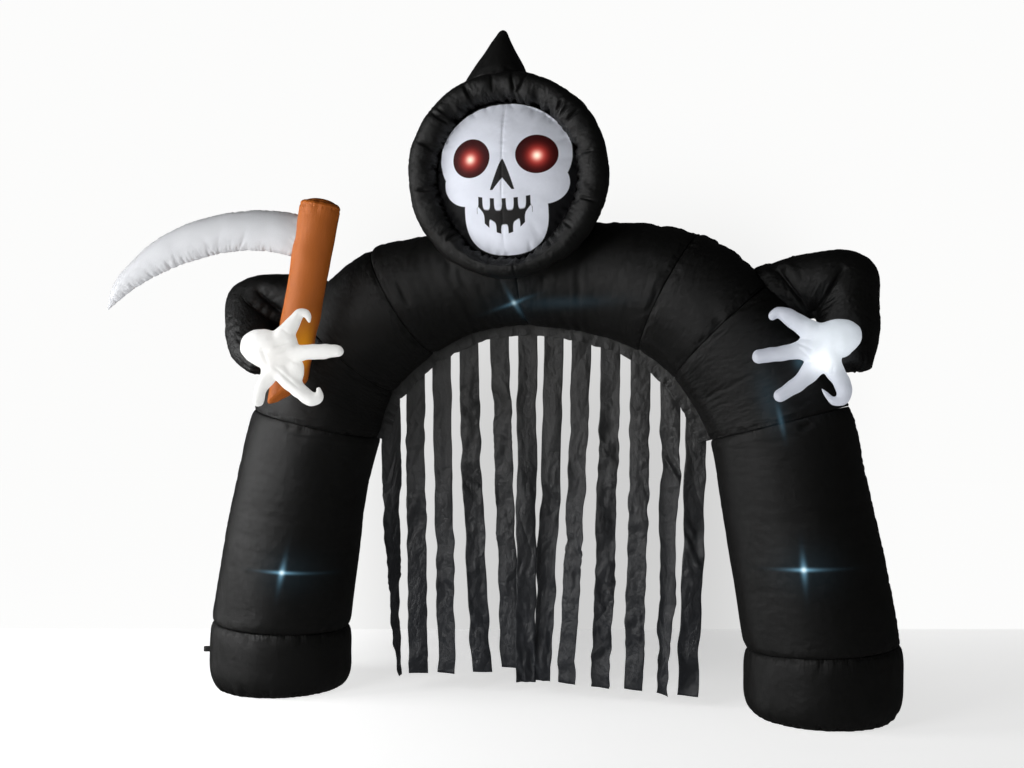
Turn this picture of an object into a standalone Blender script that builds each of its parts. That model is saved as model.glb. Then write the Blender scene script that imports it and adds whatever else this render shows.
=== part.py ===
"""Inflatable hooded archway with a strip curtain, as solid parts.

Metres, +Z up, the front faces -Y.  All sizes below are measured from the floor midway between
the feet, and every piece is then placed so that the origin is the bottom centre of the whole
object's box.  Each sewn section of the arch is a filled solid with drawn-in ends, lofted
between an inner line and an outer line that lie in the plane of the arch, y = 0.
"""
import math
from collections import namedtuple

import bmesh
import bpy
import numpy as np
from mathutils import Matrix, Vector

# ---------------------------------------------------------------- driving sizes
BOX_CENTRE = (-0.171, -0.119, 0.0)     # bottom centre of the object's box, from between the feet
GAP = 0.0003                # least space between two pieces
ARCH_SIDES = 24             # flat sides round each tube of the arch
SEAM_GAP = 0.0004           # from a seam's plane to the end of each section, along the arch
SEAM_DEPTH = 0.009          # how far a seam draws the tube in
SEAM_REACH = 0.055          # how far from a seam the tube is drawn in
SECTION_STEP = 0.13         # distance between the rings of a section
SMOOTH_ANGLE = 40.0         # edges sharper than this are shaded as edges

FOOT_RADIUS = 0.303
FOOT_SWELL = 0.001          # how much fuller than that the foot is half way up
BASE_RADIUS = 0.250

HOOD_X, HOOD_Y, HOOD_Z = -0.066, -0.293, 2.128      # centre of the padded brim
BRIM_RADIUS = 0.342         # from the hood's centre to the middle of the brim
BRIM_HALF_WIDTH = 0.057
BRIM_HALF_DEPTH = 0.070
BRIM_THINNING = 0.052       # how much thinner the brim is at its lowest point
BRIM_SWELL = 0.012          # how much the brim stands out at its upper left
SWELL_ANGLE = 128.0
HOOD_BACK_DEPTH = 0.40
DOME_ANGLES = (86, 72, 56, 40, 24, 9)       # rings of the hood's rounded back, from the middle
FACE_BULGE = 0.070
FACE_BACK = 0.034
FACE_FULLNESS = 2.4         # the higher, the flatter the middle of the face
TIP_TOP = (-0.108, -0.190, 2.740)
TIP_LEAN = -0.020           # the foot of the point lies this much further along X than its top
TIP_DEPTH = 0.85            # its depth against its width
TIP_SUNK = 0.025            # how far its foot goes below the top of the brim before it is cut

POLE_TOP_RADIUS = 0.0805
POLE_FOOT_RADIUS = 0.0720
POLE_TOP = (-0.820, -0.370, 2.033)
POLE_FOOT = (-0.975, -0.370, 1.199)
POLE_FOOT_SLOPE = 0.92      # its lower end rises this much for each metre to the right
POLE_RIM = 0.020
BLADE_Y = -0.370

CLOTH = 0.0016              # thickness of the thin curtain cloth
STRIP_WIDTH = 0.082
STRIP_OVERLAP = 0.022       # how far a strip reaches up behind the band
STRIP_RIPPLE = 0.005        # how far its cloth ripples to and fro
SEWN_SHARE = 0.03           # the share of its length that the band holds flat
BAND_WIDTH_TOP = 0.047
BAND_WIDTH_SIDE = 0.062

LOOP_WIDTH = 0.020
LOOP_REACH = 0.027
LOOP_HALF_SPAN = 0.011
LOOP_HEIGHT = 0.166
LOOP_FACING = 202.5         # the way the loop stands out from the foot, from +X round to +Y
WEBBING = 0.002

# One row for each place where the arch's shape is set, from the left foot over the top to the
# right foot: the inner and the outer point of the tube, and whether a seam runs there.
Row = namedtuple("Row", "name x_in z_in x_out z_out seam")
ARCH = (
    Row("foot_left", -0.850, 0.256, -1.443, 0.292, True),
    Row("leg_low_left", -0.808, 0.571, -1.390, 0.629, False),
    Row("leg_high_left", -0.755, 0.905, -1.318, 0.965, False),
    Row("leg_left", -0.705, 1.077, -1.255, 1.208, True),
    Row("shoulder_left", -0.635, 1.273, -1.030, 1.634, True),
    Row("upper_left", -0.454, 1.435, -0.716, 1.893, True),
    Row("crown_left", -0.250, 1.528, -0.385, 1.966, False),
    Row("middle", -0.040, 1.549, -0.062, 1.992, True),
    Row("crown_right", 0.190, 1.520, 0.300, 1.977, False),
    Row("upper_right", 0.420, 1.438, 0.675, 1.916, True),
    Row("shoulder_right", 0.560, 1.326, 0.962, 1.710, True),
    Row("leg_right", 0.705, 1.075, 1.255, 1.215, True),
    Row("leg_high_right", 0.737, 0.915, 1.310, 0.965, False),
    Row("leg_low_right", 0.790, 0.571, 1.382, 0.629, False),
    Row("foot_right", 0.838, 0.256, 1.439, 0.292, True),
)
# Sewn sections: node name, and the rows where it starts and ends.
SECTIONS = (
    ("leg_left", "foot_left", "leg_left"),
    ("shoulder_left", "leg_left", "shoulder_left"),
    ("upper_left", "shoulder_left", "upper_left"),
    ("crown_left", "upper_left", "middle"),
    ("crown_right", "middle", "upper_right"),
    ("upper_right", "upper_right", "shoulder_right"),
    ("shoulder_right", "shoulder_right", "leg_right"),
    ("leg_right", "leg_right", "foot_right"),
)

# Each tube's end is rounded off by small rings: how far on, and the share of the last width.
CUFF_ROUNDING = ((0.014, 0.86), (0.022, 0.55))
FINGERTIP_ROUNDING = ((0.55, 0.83), (0.88, 0.47))       # here as shares of the tip's radius

# A sleeve is a bent tube whose rings fan out from the crease inside its elbow.
SleeveRow = namedtuple("SleeveRow", "x_in z_in x_out z_out y half_depth")
SLEEVES = {
    "right": (
        SleeveRow(0.930, 1.520, 0.850, 1.748, -0.020, 0.100),
        SleeveRow(1.040, 1.545, 1.000, 1.804, -0.035, 0.112),
        SleeveRow(1.082, 1.550, 1.120, 1.817, -0.055, 0.118),
        SleeveRow(1.100, 1.553, 1.258, 1.815, -0.070, 0.122),
        SleeveRow(1.110, 1.548, 1.350, 1.750, -0.080, 0.122),
        SleeveRow(1.116, 1.532, 1.362, 1.638, -0.100, 0.118),
        SleeveRow(1.135, 1.482, 1.360, 1.540, -0.138, 0.108),
        SleeveRow(1.162, 1.420, 1.346, 1.443, -0.180, 0.092),
        SleeveRow(1.192, 1.366, 1.325, 1.366, -0.222, 0.072),
    ),
    "left": (
        SleeveRow(-0.930, 1.500, -0.850, 1.725, -0.020, 0.100),
        SleeveRow(-1.045, 1.520, -1.000, 1.778, -0.035, 0.112),
        SleeveRow(-1.080, 1.528, -1.130, 1.786, -0.055, 0.118),
        SleeveRow(-1.096, 1.530, -1.258, 1.774, -0.070, 0.122),
        SleeveRow(-1.106, 1.526, -1.352, 1.708, -0.085, 0.124),
        SleeveRow(-1.106, 1.514, -1.354, 1.616, -0.130, 0.120),
        SleeveRow(-1.098, 1.485, -1.318, 1.525, -0.190, 0.108),
        SleeveRow(-1.075, 1.445, -1.273, 1.440, -0.250, 0.092),
        SleeveRow(-1.037, 1.402, -1.148, 1.350, -0.310, 0.074),
    ),
}

# A hand is an ellipsoid for the palm, one or two more for the wrist and the web, and fingers.
# Each finger is a tapered path in the palm's plane: x, z and the radius at each point.
Lump = namedtuple("Lump", "x y z half_width half_depth half_height turn")
HANDS = {
    "left": {
        "palm": Lump(-1.006, -0.474, 1.438, 0.111, 0.056, 0.078, -19),
        "fingers": (
            ((-0.975, 1.445, 0.034), (-0.933, 1.497, 0.034), (-0.905, 1.528, 0.030),
             (-0.879, 1.562, 0.022), (-0.858, 1.580, 0.019), (-0.838, 1.574, 0.016),
             (-0.826, 1.546, 0.006)),
            ((-0.985, 1.426, 0.034), (-0.848, 1.425, 0.030), (-0.752, 1.427, 0.028),
             (-0.704, 1.427, 0.022)),
            ((-0.985, 1.385, 0.036), (-0.893, 1.296, 0.031), (-0.850, 1.261, 0.029),
             (-0.806, 1.240, 0.026), (-0.784, 1.252, 0.018), (-0.785, 1.278, 0.008)),
            ((-0.985, 1.385, 0.036), (-0.999, 1.330, 0.032), (-1.026, 1.288, 0.026),
             (-1.038, 1.254, 0.023), (-1.042, 1.228, 0.020)),
        ),
        "lumps": (
            Lump(-1.082, -0.412, 1.440, 0.045, 0.084, 0.045, 0),
            Lump(-0.888, -0.474, 1.350, 0.040, 0.018, 0.056, 0),
            Lump(-0.925, -0.474, 1.462, 0.046, 0.036, 0.046, 0),
        ),
    },
    "right": {
        "palm": Lump(1.172, -0.350, 1.458, 0.106, 0.052, 0.070, 14),
        "fingers": (
            ((1.140, 1.465, 0.038), (1.089, 1.495, 0.036), (1.035, 1.528, 0.032),
             (1.003, 1.550, 0.028), (0.976, 1.558, 0.022), (0.961, 1.551, 0.019),
             (0.957, 1.539, 0.010)),
            ((1.150, 1.440, 0.036), (1.071, 1.422, 0.032), (0.962, 1.403, 0.027),
             (0.907, 1.397, 0.026)),
            ((1.155, 1.400, 0.040), (1.106, 1.355, 0.037), (1.072, 1.317, 0.032),
             (1.030, 1.282, 0.026), (0.982, 1.251, 0.023)),
            ((1.155, 1.410, 0.038), (1.183, 1.331, 0.034), (1.206, 1.290, 0.031),
             (1.211, 1.254, 0.027), (1.197, 1.234, 0.021), (1.173, 1.233, 0.014),
             (1.148, 1.256, 0.008), (1.134, 1.274, 0.004)),
        ),
        "lumps": (
            Lump(1.206, -0.296, 1.440, 0.046, 0.076, 0.048, 0),
            Lump(1.100, -0.350, 1.425, 0.052, 0.040, 0.052, 0),
        ),
    },
}

# Blade: the upper and lower edge at stations from the pole to the point.
BladeRow = namedtuple("BladeRow", "x_top z_top x_low z_low half_depth")
BLADE = (
    BladeRow(-0.860, 1.982, -0.890, 1.796, 0.046),
    BladeRow(-0.960, 2.000, -0.985, 1.829, 0.050),
    BladeRow(-1.100, 2.014, -1.125, 1.849, 0.050),
    BladeRow(-1.240, 2.006, -1.240, 1.842, 0.048),
    BladeRow(-1.400, 1.972, -1.365, 1.819, 0.044),
    BladeRow(-1.560, 1.901, -1.490, 1.780, 0.037),
    BladeRow(-1.680, 1.805, -1.610, 1.726, 0.028),
    BladeRow(-1.755, 1.710, -1.712, 1.662, 0.016),
    BladeRow(-1.784, 1.622, -1.779, 1.617, 0.003),
)

# Curtain strips: the middle of the top and bottom edges, how far the bottom is turned about the
# vertical, and how far the cloth swings to the front half way down.
StripRow = namedtuple("StripRow", "x_top x_low z_low turn swing")
STRIPS = (
    StripRow(-0.648, -0.600, 0.072, 98, 0.010),
    StripRow(-0.537, -0.519, 0.080, 8, -0.008),
    StripRow(-0.422, -0.402, 0.084, -12, 0.012),
    StripRow(-0.302, -0.241, 0.100, 10, -0.010),
    StripRow(-0.169, -0.127, 0.118, -8, 0.022),
    StripRow(-0.047, -0.058, 0.068, 14, -0.022),
    StripRow(0.065, 0.004, 0.072, -6, 0.010),
    StripRow(0.181, 0.122, 0.070, -28, -0.012),
    StripRow(0.302, 0.252, 0.058, -10, 0.008),
    StripRow(0.426, 0.396, 0.058, -18, -0.010),
    StripRow(0.547, 0.500, 0.040, -48, 0.012),
    StripRow(0.650, 0.612, 0.044, 8, -0.006),
)


# ---------------------------------------------------------------- scene and materials
def clear_scene():
    for old in list(bpy.data.objects):
        bpy.data.objects.remove(old, do_unlink=True)


def new_collection(name):
    collection = bpy.data.collections.new(name)
    bpy.context.scene.collection.children.link(collection)
    return collection


def new_material(name, colour, roughness):
    material = bpy.data.materials.new(name)
    material.use_nodes = True
    shader = material.node_tree.nodes["Principled BSDF"]
    shader.inputs["Base Color"].default_value = (*colour, 1.0)
    shader.inputs["Roughness"].default_value = roughness
    shader.inputs["Metallic"].default_value = 0.0
    material.diffuse_color = (*colour, 1.0)
    return material


def add_object(name, mesh, material, collection):
    mesh.materials.append(material)
    piece = bpy.data.objects.new(name, mesh)
    piece.location = -Vector(BOX_CENTRE)
    collection.objects.link(piece)
    mesh.shade_smooth()
    mesh.set_sharp_from_angle(angle=math.radians(SMOOTH_ANGLE))
    return piece


# ---------------------------------------------------------------- shapes by loft
def natural_spline(values):
    """Return a function that runs a natural cubic spline through rows of values.

    The rows are spaced by their distance from one another, and the function takes a distance."""
    values = np.asarray(values, float)
    steps = np.linalg.norm(np.diff(values, axis=0), axis=1)
    knots = np.concatenate(([0.0], np.cumsum(steps)))
    count = len(knots)
    matrix = np.eye(count)
    right = np.zeros_like(values)
    for i in range(1, count - 1):
        before, after = steps[i - 1], steps[i]
        matrix[i, i - 1:i + 2] = before, 2 * (before + after), after
        right[i] = 6 * ((values[i + 1] - values[i]) / after - (values[i] - values[i - 1]) / before)
    bend = np.linalg.solve(matrix, right)

    def at(distance):
        distance = np.atleast_1d(distance)
        i = np.clip(np.searchsorted(knots, distance, side="right") - 1, 0, count - 2)
        step = steps[i][:, None]
        back = (distance - knots[i])[:, None]
        ahead = step - back
        return (
            bend[i] * ahead**3 / (6 * step) + bend[i + 1] * back**3 / (6 * step)
            + (values[i] / step - bend[i] * step / 6) * ahead
            + (values[i + 1] / step - bend[i + 1] * step / 6) * back
        )

    return at, knots


def closed_mesh(name, rings, caps=True):
    """Join rings of points, each the same length, into one closed mesh that faces out.

    Each four-sided gap is split along the same diagonal, so that two pieces that follow one
    another stay clear where their surfaces twist."""
    rings = np.asarray(rings, float)
    count, sides = rings.shape[:2]
    mesh = bpy.data.meshes.new(name)
    shape = bmesh.new()
    grid = [[shape.verts.new(point) for point in ring] for ring in rings]
    last = count - 1 if caps else count
    for i in range(last):
        for j in range(sides):
            here, beyond = grid[i], grid[(i + 1) % count]
            k = (j + 1) % sides
            shape.faces.new((here[j], here[k], beyond[k]))
            shape.faces.new((here[j], beyond[k], beyond[j]))
    if caps:
        shape.faces.new(grid[0][::-1])
        shape.faces.new(grid[-1])
    if shape.calc_volume(signed=True) < 0:
        bmesh.ops.reverse_faces(shape, faces=shape.faces)
    shape.to_mesh(mesh)
    shape.free()
    return mesh


def thin_cloth(name, grid, thickness, material, collection):
    """A sheet from a grid of points, thickened evenly to both sides."""
    grid = np.asarray(grid, float)
    rows, columns = grid.shape[:2]
    index = np.arange(rows * columns).reshape(rows, columns)
    faces = np.stack((index[:-1, :-1], index[:-1, 1:], index[1:, 1:], index[1:, :-1]), axis=-1)
    mesh = bpy.data.meshes.new(name)
    mesh.from_pydata(grid.reshape(-1, 3).tolist(), [], faces.reshape(-1, 4).tolist())
    piece = add_object(name, mesh, material, collection)
    solidify = piece.modifiers.new("thickness", "SOLIDIFY")
    solidify.thickness = thickness
    solidify.offset = 0.0
    return piece


def cut_by(piece, cutter, operation="DIFFERENCE"):
    boolean = piece.modifiers.new(operation.lower(), "BOOLEAN")
    boolean.operation = operation
    boolean.object = cutter
    boolean.solver = "EXACT"


def hide_cutter(cutter):
    cutter.hide_render = True
    cutter.display_type = "WIRE"
    return cutter


# ---------------------------------------------------------------- the arch
arch_at, arch_knots = natural_spline([(r.x_in, r.z_in, r.x_out, r.z_out) for r in ARCH])
KNOT_OF = {row.name: knot for row, knot in zip(ARCH, arch_knots)}
SEAM_KNOTS = np.array([knot for row, knot in zip(ARCH, arch_knots) if row.seam])


def drawn_in(distance):
    """How far a seam draws the tube in: all of it at the seam, in a round shoulder to none."""
    away = np.clip(distance / SEAM_REACH, 0.0, 1.0)
    return SEAM_DEPTH * (1.0 - np.sqrt(1.0 - (1.0 - away) ** 2))


def arch_rings(places, grow=0.0, seams=True):
    """Rings of the arch's tube at the given places along it, round the line y = 0."""
    places = np.asarray(places, float)
    x_in, z_in, x_out, z_out = arch_at(places).T
    centre = np.stack(((x_in + x_out) / 2, (z_in + z_out) / 2), axis=1)
    half = np.stack((x_out - x_in, z_out - z_in), axis=1) / 2
    radius = np.linalg.norm(half, axis=1)
    scale = (radius + grow) / radius
    if seams:
        nearest = np.abs(places[:, None] - SEAM_KNOTS[None, :]).min(axis=1)
        scale = scale - drawn_in(nearest) / radius
    turn = np.linspace(0, 2 * math.pi, ARCH_SIDES, endpoint=False)
    rings = np.empty((len(places), ARCH_SIDES, 3))
    rings[..., 0] = centre[:, :1] + np.outer(half[:, 0] * scale, np.cos(turn))
    rings[..., 1] = np.outer(radius * scale, np.sin(turn))
    rings[..., 2] = centre[:, 1:] + np.outer(half[:, 1] * scale, np.cos(turn))
    return rings


def section_places(start, end):
    """Places for a section's rings: close together near each seam, even between them."""
    near = SEAM_REACH * np.array((0.0, 0.10, 0.40, 1.0))
    near[0] = SEAM_GAP
    inner = (start + SEAM_REACH, end - SEAM_REACH)
    steps = max(1, round((inner[1] - inner[0]) / SECTION_STEP))
    middle = np.linspace(*inner, steps + 1)[1:-1]
    return np.concatenate((start + near, middle, (end - near)[::-1]))


def foot_rings(side):
    """Rings of a foot from its flat base up to the leaning seam.

    A row of the profile is a share of the seam's height and what the radius is short of full."""
    profile = (
        (0.000, FOOT_RADIUS - BASE_RADIUS),
        (0.022, 0.035),
        (0.075, 0.019),
        (0.160, 0.007),
        (0.300, 0.000),
        (0.550, -FOOT_SWELL),
        (0.780, 0.000),
        (0.900, 0.004),
        (0.970, 0.011),
        (1.000, 0.024),
    )
    row = next(r for r in ARCH if r.name == f"foot_{side}")
    middle_x = (row.x_in + row.x_out) / 2
    middle_z = (row.z_in + row.z_out) / 2
    lean = (row.z_out - row.z_in) / (row.x_out - row.x_in)
    turn = np.linspace(0, 2 * math.pi, ARCH_SIDES, endpoint=False)
    rings = []
    for height, short in profile:
        across = (FOOT_RADIUS - short) * np.cos(turn)
        seam_z = middle_z + lean * across - GAP
        y = (FOOT_RADIUS - short) * np.sin(turn)
        rings.append(np.stack((middle_x + across, y, height * seam_z), axis=1))
    return rings


def build_arch(parts, cutters, cloth):
    for side in ("left", "right"):
        name = f"foot_{side}"
        add_object(name, closed_mesh(name, foot_rings(side)), cloth, parts)
    places = []
    for name, start, end in SECTIONS:
        spots = section_places(KNOT_OF[start], KNOT_OF[end])
        places.extend(spots)
        add_object(name, closed_mesh(name, arch_rings(spots)), cloth, parts)
    clear = arch_rings(places, grow=2 * GAP, seams=False)
    cutter = add_object("arch_clearance", closed_mesh("arch_clearance", clear), cloth, cutters)
    return hide_cutter(cutter)


# ---------------------------------------------------------------- sleeves
def sleeve_rings(side, grow=0.0, sides=20, steps=15):
    """Rings that fan round the elbow, each square to the sleeve's middle line, and the cuff."""
    at, knots = natural_spline(SLEEVES[side])
    x_in, z_in, x_out, z_out, y, depth = at(np.linspace(0, knots[-1], steps)).T
    centre = np.stack(((x_in + x_out) / 2, y, (z_in + z_out) / 2), axis=1)
    across = np.stack((x_out - x_in, np.zeros(steps), z_out - z_in), axis=1) / 2
    width = np.linalg.norm(across, axis=1)[:, None]
    deep = np.cross(across, np.gradient(centre, axis=0))
    deep /= np.linalg.norm(deep, axis=1)[:, None]
    across *= (width + grow) / width
    deep *= depth[:, None] + grow
    turn = np.linspace(0, 2 * math.pi, sides, endpoint=False)[None, :, None]
    rings = centre[:, None] + across[:, None] * np.cos(turn) + deep[:, None] * np.sin(turn)
    onward = centre[-1] - centre[-2]
    onward /= np.linalg.norm(onward)
    cuff = rings[-1] - centre[-1]
    for reach, share in CUFF_ROUNDING:
        ring = centre[-1] + cuff * share + onward * (reach + grow)
        rings = np.concatenate((rings, ring[None]))
    return rings


def build_sleeves(parts, cutters, cloth, arch_clearance):
    clearances = {}
    for side in ("left", "right"):
        name = f"sleeve_{side}"
        sleeve = add_object(name, closed_mesh(name, sleeve_rings(side)), cloth, parts)
        cut_by(sleeve, arch_clearance)
        name = f"sleeve_clearance_{side}"
        wide = closed_mesh(name, sleeve_rings(side, grow=2 * GAP))
        clearances[side] = hide_cutter(add_object(name, wide, cloth, cutters))
    return clearances


# ---------------------------------------------------------------- hands
def finger_rings(points, y, sides=8):
    """Rings of a finger along its path, with a round tip and a root inside the palm."""
    at, knots = natural_spline([(x, z, radius) for x, z, radius in points])
    steps = 2 * len(points)
    x, z, radius = at(np.linspace(0, knots[-1], steps)).T
    centre = np.stack((x, np.full(steps, y), z), axis=1)
    along = np.gradient(centre, axis=0)
    along /= np.linalg.norm(along, axis=1)[:, None]
    tip, end, onward = radius[-1], centre[-1], along[-1]
    for reach, share in FINGERTIP_ROUNDING:
        centre = np.vstack((centre, end + onward * tip * reach))
        along = np.vstack((along, onward))
        radius = np.append(radius, tip * share)
    turn = np.linspace(0, 2 * math.pi, sides, endpoint=False)
    across = np.stack((along[:, 2], np.zeros(len(along)), -along[:, 0]), axis=1)
    deep = np.array((0.0, 1.0, 0.0))
    return (
        centre[:, None, :]
        + radius[:, None, None] * np.cos(turn)[None, :, None] * across[:, None, :]
        + radius[:, None, None] * np.sin(turn)[None, :, None] * deep
    )


def ellipsoid(name, lump, material, collection):
    """A sphere primitive, stretched, turned about the Y axis and moved to its place."""
    shape = bmesh.new()
    bmesh.ops.create_uvsphere(shape, u_segments=14, v_segments=8, radius=1.0)
    stretch = Matrix.Diagonal((lump.half_width, lump.half_depth, lump.half_height, 1.0))
    turn = Matrix.Rotation(math.radians(-lump.turn), 4, "Y")
    place = Matrix.Translation((lump.x, lump.y, lump.z))
    shape.transform(place @ turn @ stretch)
    mesh = bpy.data.meshes.new(name)
    shape.to_mesh(mesh)
    shape.free()
    return add_object(name, mesh, material, collection)


def build_hands(parts, cutters, cloth, clearances):
    for side, hand in HANDS.items():
        palm = hand["palm"]
        piece = ellipsoid(f"hand_{side}", palm, cloth, parts)
        for number, points in enumerate(hand["fingers"], start=1):
            name = f"finger_{side}_{number}"
            finger = add_object(name, closed_mesh(name, finger_rings(points, palm.y)), cloth, cutters)
            cut_by(piece, hide_cutter(finger), "UNION")
        for number, lump in enumerate(hand["lumps"], start=1):
            extra = ellipsoid(f"lump_{side}_{number}", lump, cloth, cutters)
            cut_by(piece, hide_cutter(extra), "UNION")
        for clearance in clearances[side]:
            cut_by(piece, clearance)


# ---------------------------------------------------------------- scythe
def pole_object(name, grow, material, collection):
    """A round, slightly tapered tube with softened rims, whose lower end is cut on a slope."""
    top, foot = Vector(POLE_TOP), Vector(POLE_FOOT)
    axis = top - foot
    length = axis.length
    shape = bmesh.new()
    bmesh.ops.create_cone(shape, cap_ends=True, segments=24, radius1=POLE_FOOT_RADIUS + grow,
                          radius2=POLE_TOP_RADIUS + grow, depth=length + 2 * grow)
    for corner in shape.verts:
        if corner.co.z < 0:
            corner.co.z += POLE_FOOT_SLOPE * (corner.co.x + POLE_FOOT_RADIUS)
    mesh = bpy.data.meshes.new(name)
    shape.to_mesh(mesh)
    shape.free()
    pole = add_object(name, mesh, material, collection)
    pole.location += (top + foot) / 2
    pole.rotation_euler = (0.0, math.atan2(axis.x, axis.z), 0.0)
    if grow == 0.0:
        rim = pole.modifiers.new("soft rims", "BEVEL")
        rim.width = POLE_RIM
        rim.segments = 2
        rim.limit_method = "ANGLE"
    return pole


def blade_rings(sides=14, steps=13):
    """Lens-shaped rings from the pole to the point of the blade."""
    at, knots = natural_spline(BLADE)
    x_top, z_top, x_low, z_low, depth = at(np.linspace(0, knots[-1], steps)).T
    turn = np.linspace(0, 2 * math.pi, sides, endpoint=False)
    rings = np.empty((steps, sides, 3))
    rings[..., 0] = ((x_top + x_low) / 2)[:, None] + np.outer((x_top - x_low) / 2, np.cos(turn))
    rings[..., 1] = BLADE_Y + np.outer(depth, np.sin(turn))
    rings[..., 2] = ((z_top + z_low) / 2)[:, None] + np.outer((z_top - z_low) / 2, np.cos(turn))
    return rings


def build_scythe(parts, cutters, pole_cloth, blade_cloth):
    pole_object("scythe_pole", 0.0, pole_cloth, parts)
    clearance = hide_cutter(pole_object("pole_clearance", 2 * GAP, pole_cloth, cutters))
    blade = add_object("scythe_blade", closed_mesh("scythe_blade", blade_rings()), blade_cloth, parts)
    cut_by(blade, clearance)
    return clearance


# ---------------------------------------------------------------- hood
def hood_radius(radius, turn):
    """Stretch a radius at one angle round the hood, so that the brim is thin at its lowest
    point and stands out at its upper left, and all that touches the brim follows it."""
    inner, outer = BRIM_RADIUS - BRIM_HALF_WIDTH, BRIM_RADIUS + BRIM_HALF_WIDTH
    low = BRIM_THINNING * max(0.0, -math.sin(turn)) ** 4
    swell = BRIM_SWELL * max(0.0, math.cos(turn - math.radians(SWELL_ANGLE))) ** 4
    return np.interp(radius, (0.0, inner, outer, 2 * outer),
                     (0.0, inner + low + swell, outer + swell, 2 * outer + swell))


def round_hood(name, profile, closed, material, collection, columns=40):
    """Turn a profile of (radius, depth) points about the hood's axis, which runs along Y."""
    turn = np.linspace(0, 2 * math.pi, columns, endpoint=False)
    rings = []
    for radius, depth in profile:
        around = np.array([hood_radius(radius, angle) for angle in turn])
        rings.append(np.stack((HOOD_X + around * np.cos(turn), np.full(columns, HOOD_Y + depth),
                               HOOD_Z + around * np.sin(turn)), axis=1))
    return add_object(name, closed_mesh(name, rings, caps=closed), material, collection)


def brim_profile(grow=0.0, sides=12):
    turn = np.linspace(0, 2 * math.pi, sides, endpoint=False)
    return [
        (BRIM_RADIUS + (BRIM_HALF_WIDTH + grow) * math.cos(a), (BRIM_HALF_DEPTH + grow) * math.sin(a))
        for a in turn
    ]


def face_profile():
    """The bulging front, the rim on the brim's narrowest line, and the shallow back."""
    rim = BRIM_RADIUS - BRIM_HALF_WIDTH - 2 * GAP
    front = [(rim * u, -FACE_BULGE * (1 - u**FACE_FULLNESS)) for u in (0.08, 0.4, 0.65, 0.84, 0.95)]
    back = [(rim * u, 0.004 + FACE_BACK * (1 - u**2)) for u in (0.97, 0.6, 0.1)]
    return front + [(rim, 0.0)] + back


def back_profile(grow=0.0):
    """The rounded back, an edge that follows the brim, then a disc behind the brim."""
    space = 2 * GAP - 2 * grow
    near = BRIM_HALF_DEPTH + space
    hug = [
        (BRIM_RADIUS + (BRIM_HALF_WIDTH + space) * math.cos(a), near * math.sin(a))
        for a in np.radians((30, 60, 90))
    ]
    edge_radius, edge_depth = hug[0][0] + 3 * grow, BRIM_HALF_DEPTH / 2 + grow
    hug[0] = (edge_radius, edge_depth - 4 * grow)
    dome = [
        (edge_radius * math.cos(a), edge_depth + HOOD_BACK_DEPTH * math.sin(a))
        for a in np.radians(DOME_ANGLES)
    ]
    return dome + hug + [(0.03, near)]


def hood_surface(x, y, sink):
    """Height of a point that lies a little below the top of the brim and the hood's back."""
    depth = np.clip((y - HOOD_Y - BRIM_HALF_DEPTH / 2) / HOOD_BACK_DEPTH, 0.0, 1.0)
    radius = (BRIM_RADIUS + BRIM_HALF_WIDTH) * np.sqrt(1.0 - depth**2) - sink
    return HOOD_Z + np.sqrt(radius**2 - (x - HOOD_X) ** 2)


def tip_rings(sides=20):
    """Rings of the hood's point: a cone whose foot flares over the brim and the back.

    A row is how far a ring lies below the top, and its radius."""
    top = np.array(TIP_TOP)
    rows = (
        (0.000, 0.008),
        (0.020, 0.022),
        (0.075, 0.056),
        (0.140, 0.098),
        (0.200, 0.132),
        (0.250, 0.152),
    )
    foot_drop = rows[-1][0]
    turn = np.linspace(0, 2 * math.pi, sides, endpoint=False)
    rings = []
    for drop, radius in rows:
        x = top[0] + TIP_LEAN * drop / foot_drop + radius * np.cos(turn)
        y = top[1] + TIP_DEPTH * radius * np.sin(turn)
        z = np.full(sides, top[2] - drop)
        if drop == foot_drop:
            z = hood_surface(x, y, sink=TIP_SUNK)
        rings.append(np.stack((x, y, z), axis=1))
    return rings


def build_hood(parts, cutters, cloth, print_cloth, arch_clearance):
    brim = round_hood("hood_brim", brim_profile(), False, cloth, parts)
    cut_by(brim, arch_clearance)
    back = round_hood("hood_back", back_profile(), True, cloth, parts)
    cut_by(back, arch_clearance)
    round_hood("face_panel", face_profile(), True, print_cloth, parts)
    brim_clear = hide_cutter(round_hood("brim_clearance", brim_profile(2 * GAP), False, cloth, cutters))
    wider = back_profile(grow=2 * GAP)
    back_clear = hide_cutter(round_hood("back_clearance", wider, True, cloth, cutters))
    tip = add_object("hood_tip", closed_mesh("hood_tip", tip_rings()), cloth, parts)
    cut_by(tip, back_clear)
    cut_by(tip, brim_clear)


# ---------------------------------------------------------------- curtain
def band_width(places):
    """The band is narrow at the top of the arch and wider down both sides."""
    share = np.abs(places - KNOT_OF["middle"]) / (KNOT_OF["leg_right"] - KNOT_OF["middle"])
    return BAND_WIDTH_TOP + (BAND_WIDTH_SIDE - BAND_WIDTH_TOP) * np.clip(share, 0, 1)


def band_lines(places):
    """The band's outer and inner edges in the plane y = 0, as x and z."""
    x_in, z_in, x_out, z_out = arch_at(places).T
    outward = np.stack((x_out - x_in, z_out - z_in), axis=1)
    outward /= np.linalg.norm(outward, axis=1)[:, None]
    edge = np.stack((x_in, z_in), axis=1) - outward * 2 * GAP
    return edge, edge - outward * band_width(places)[:, None]


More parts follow.
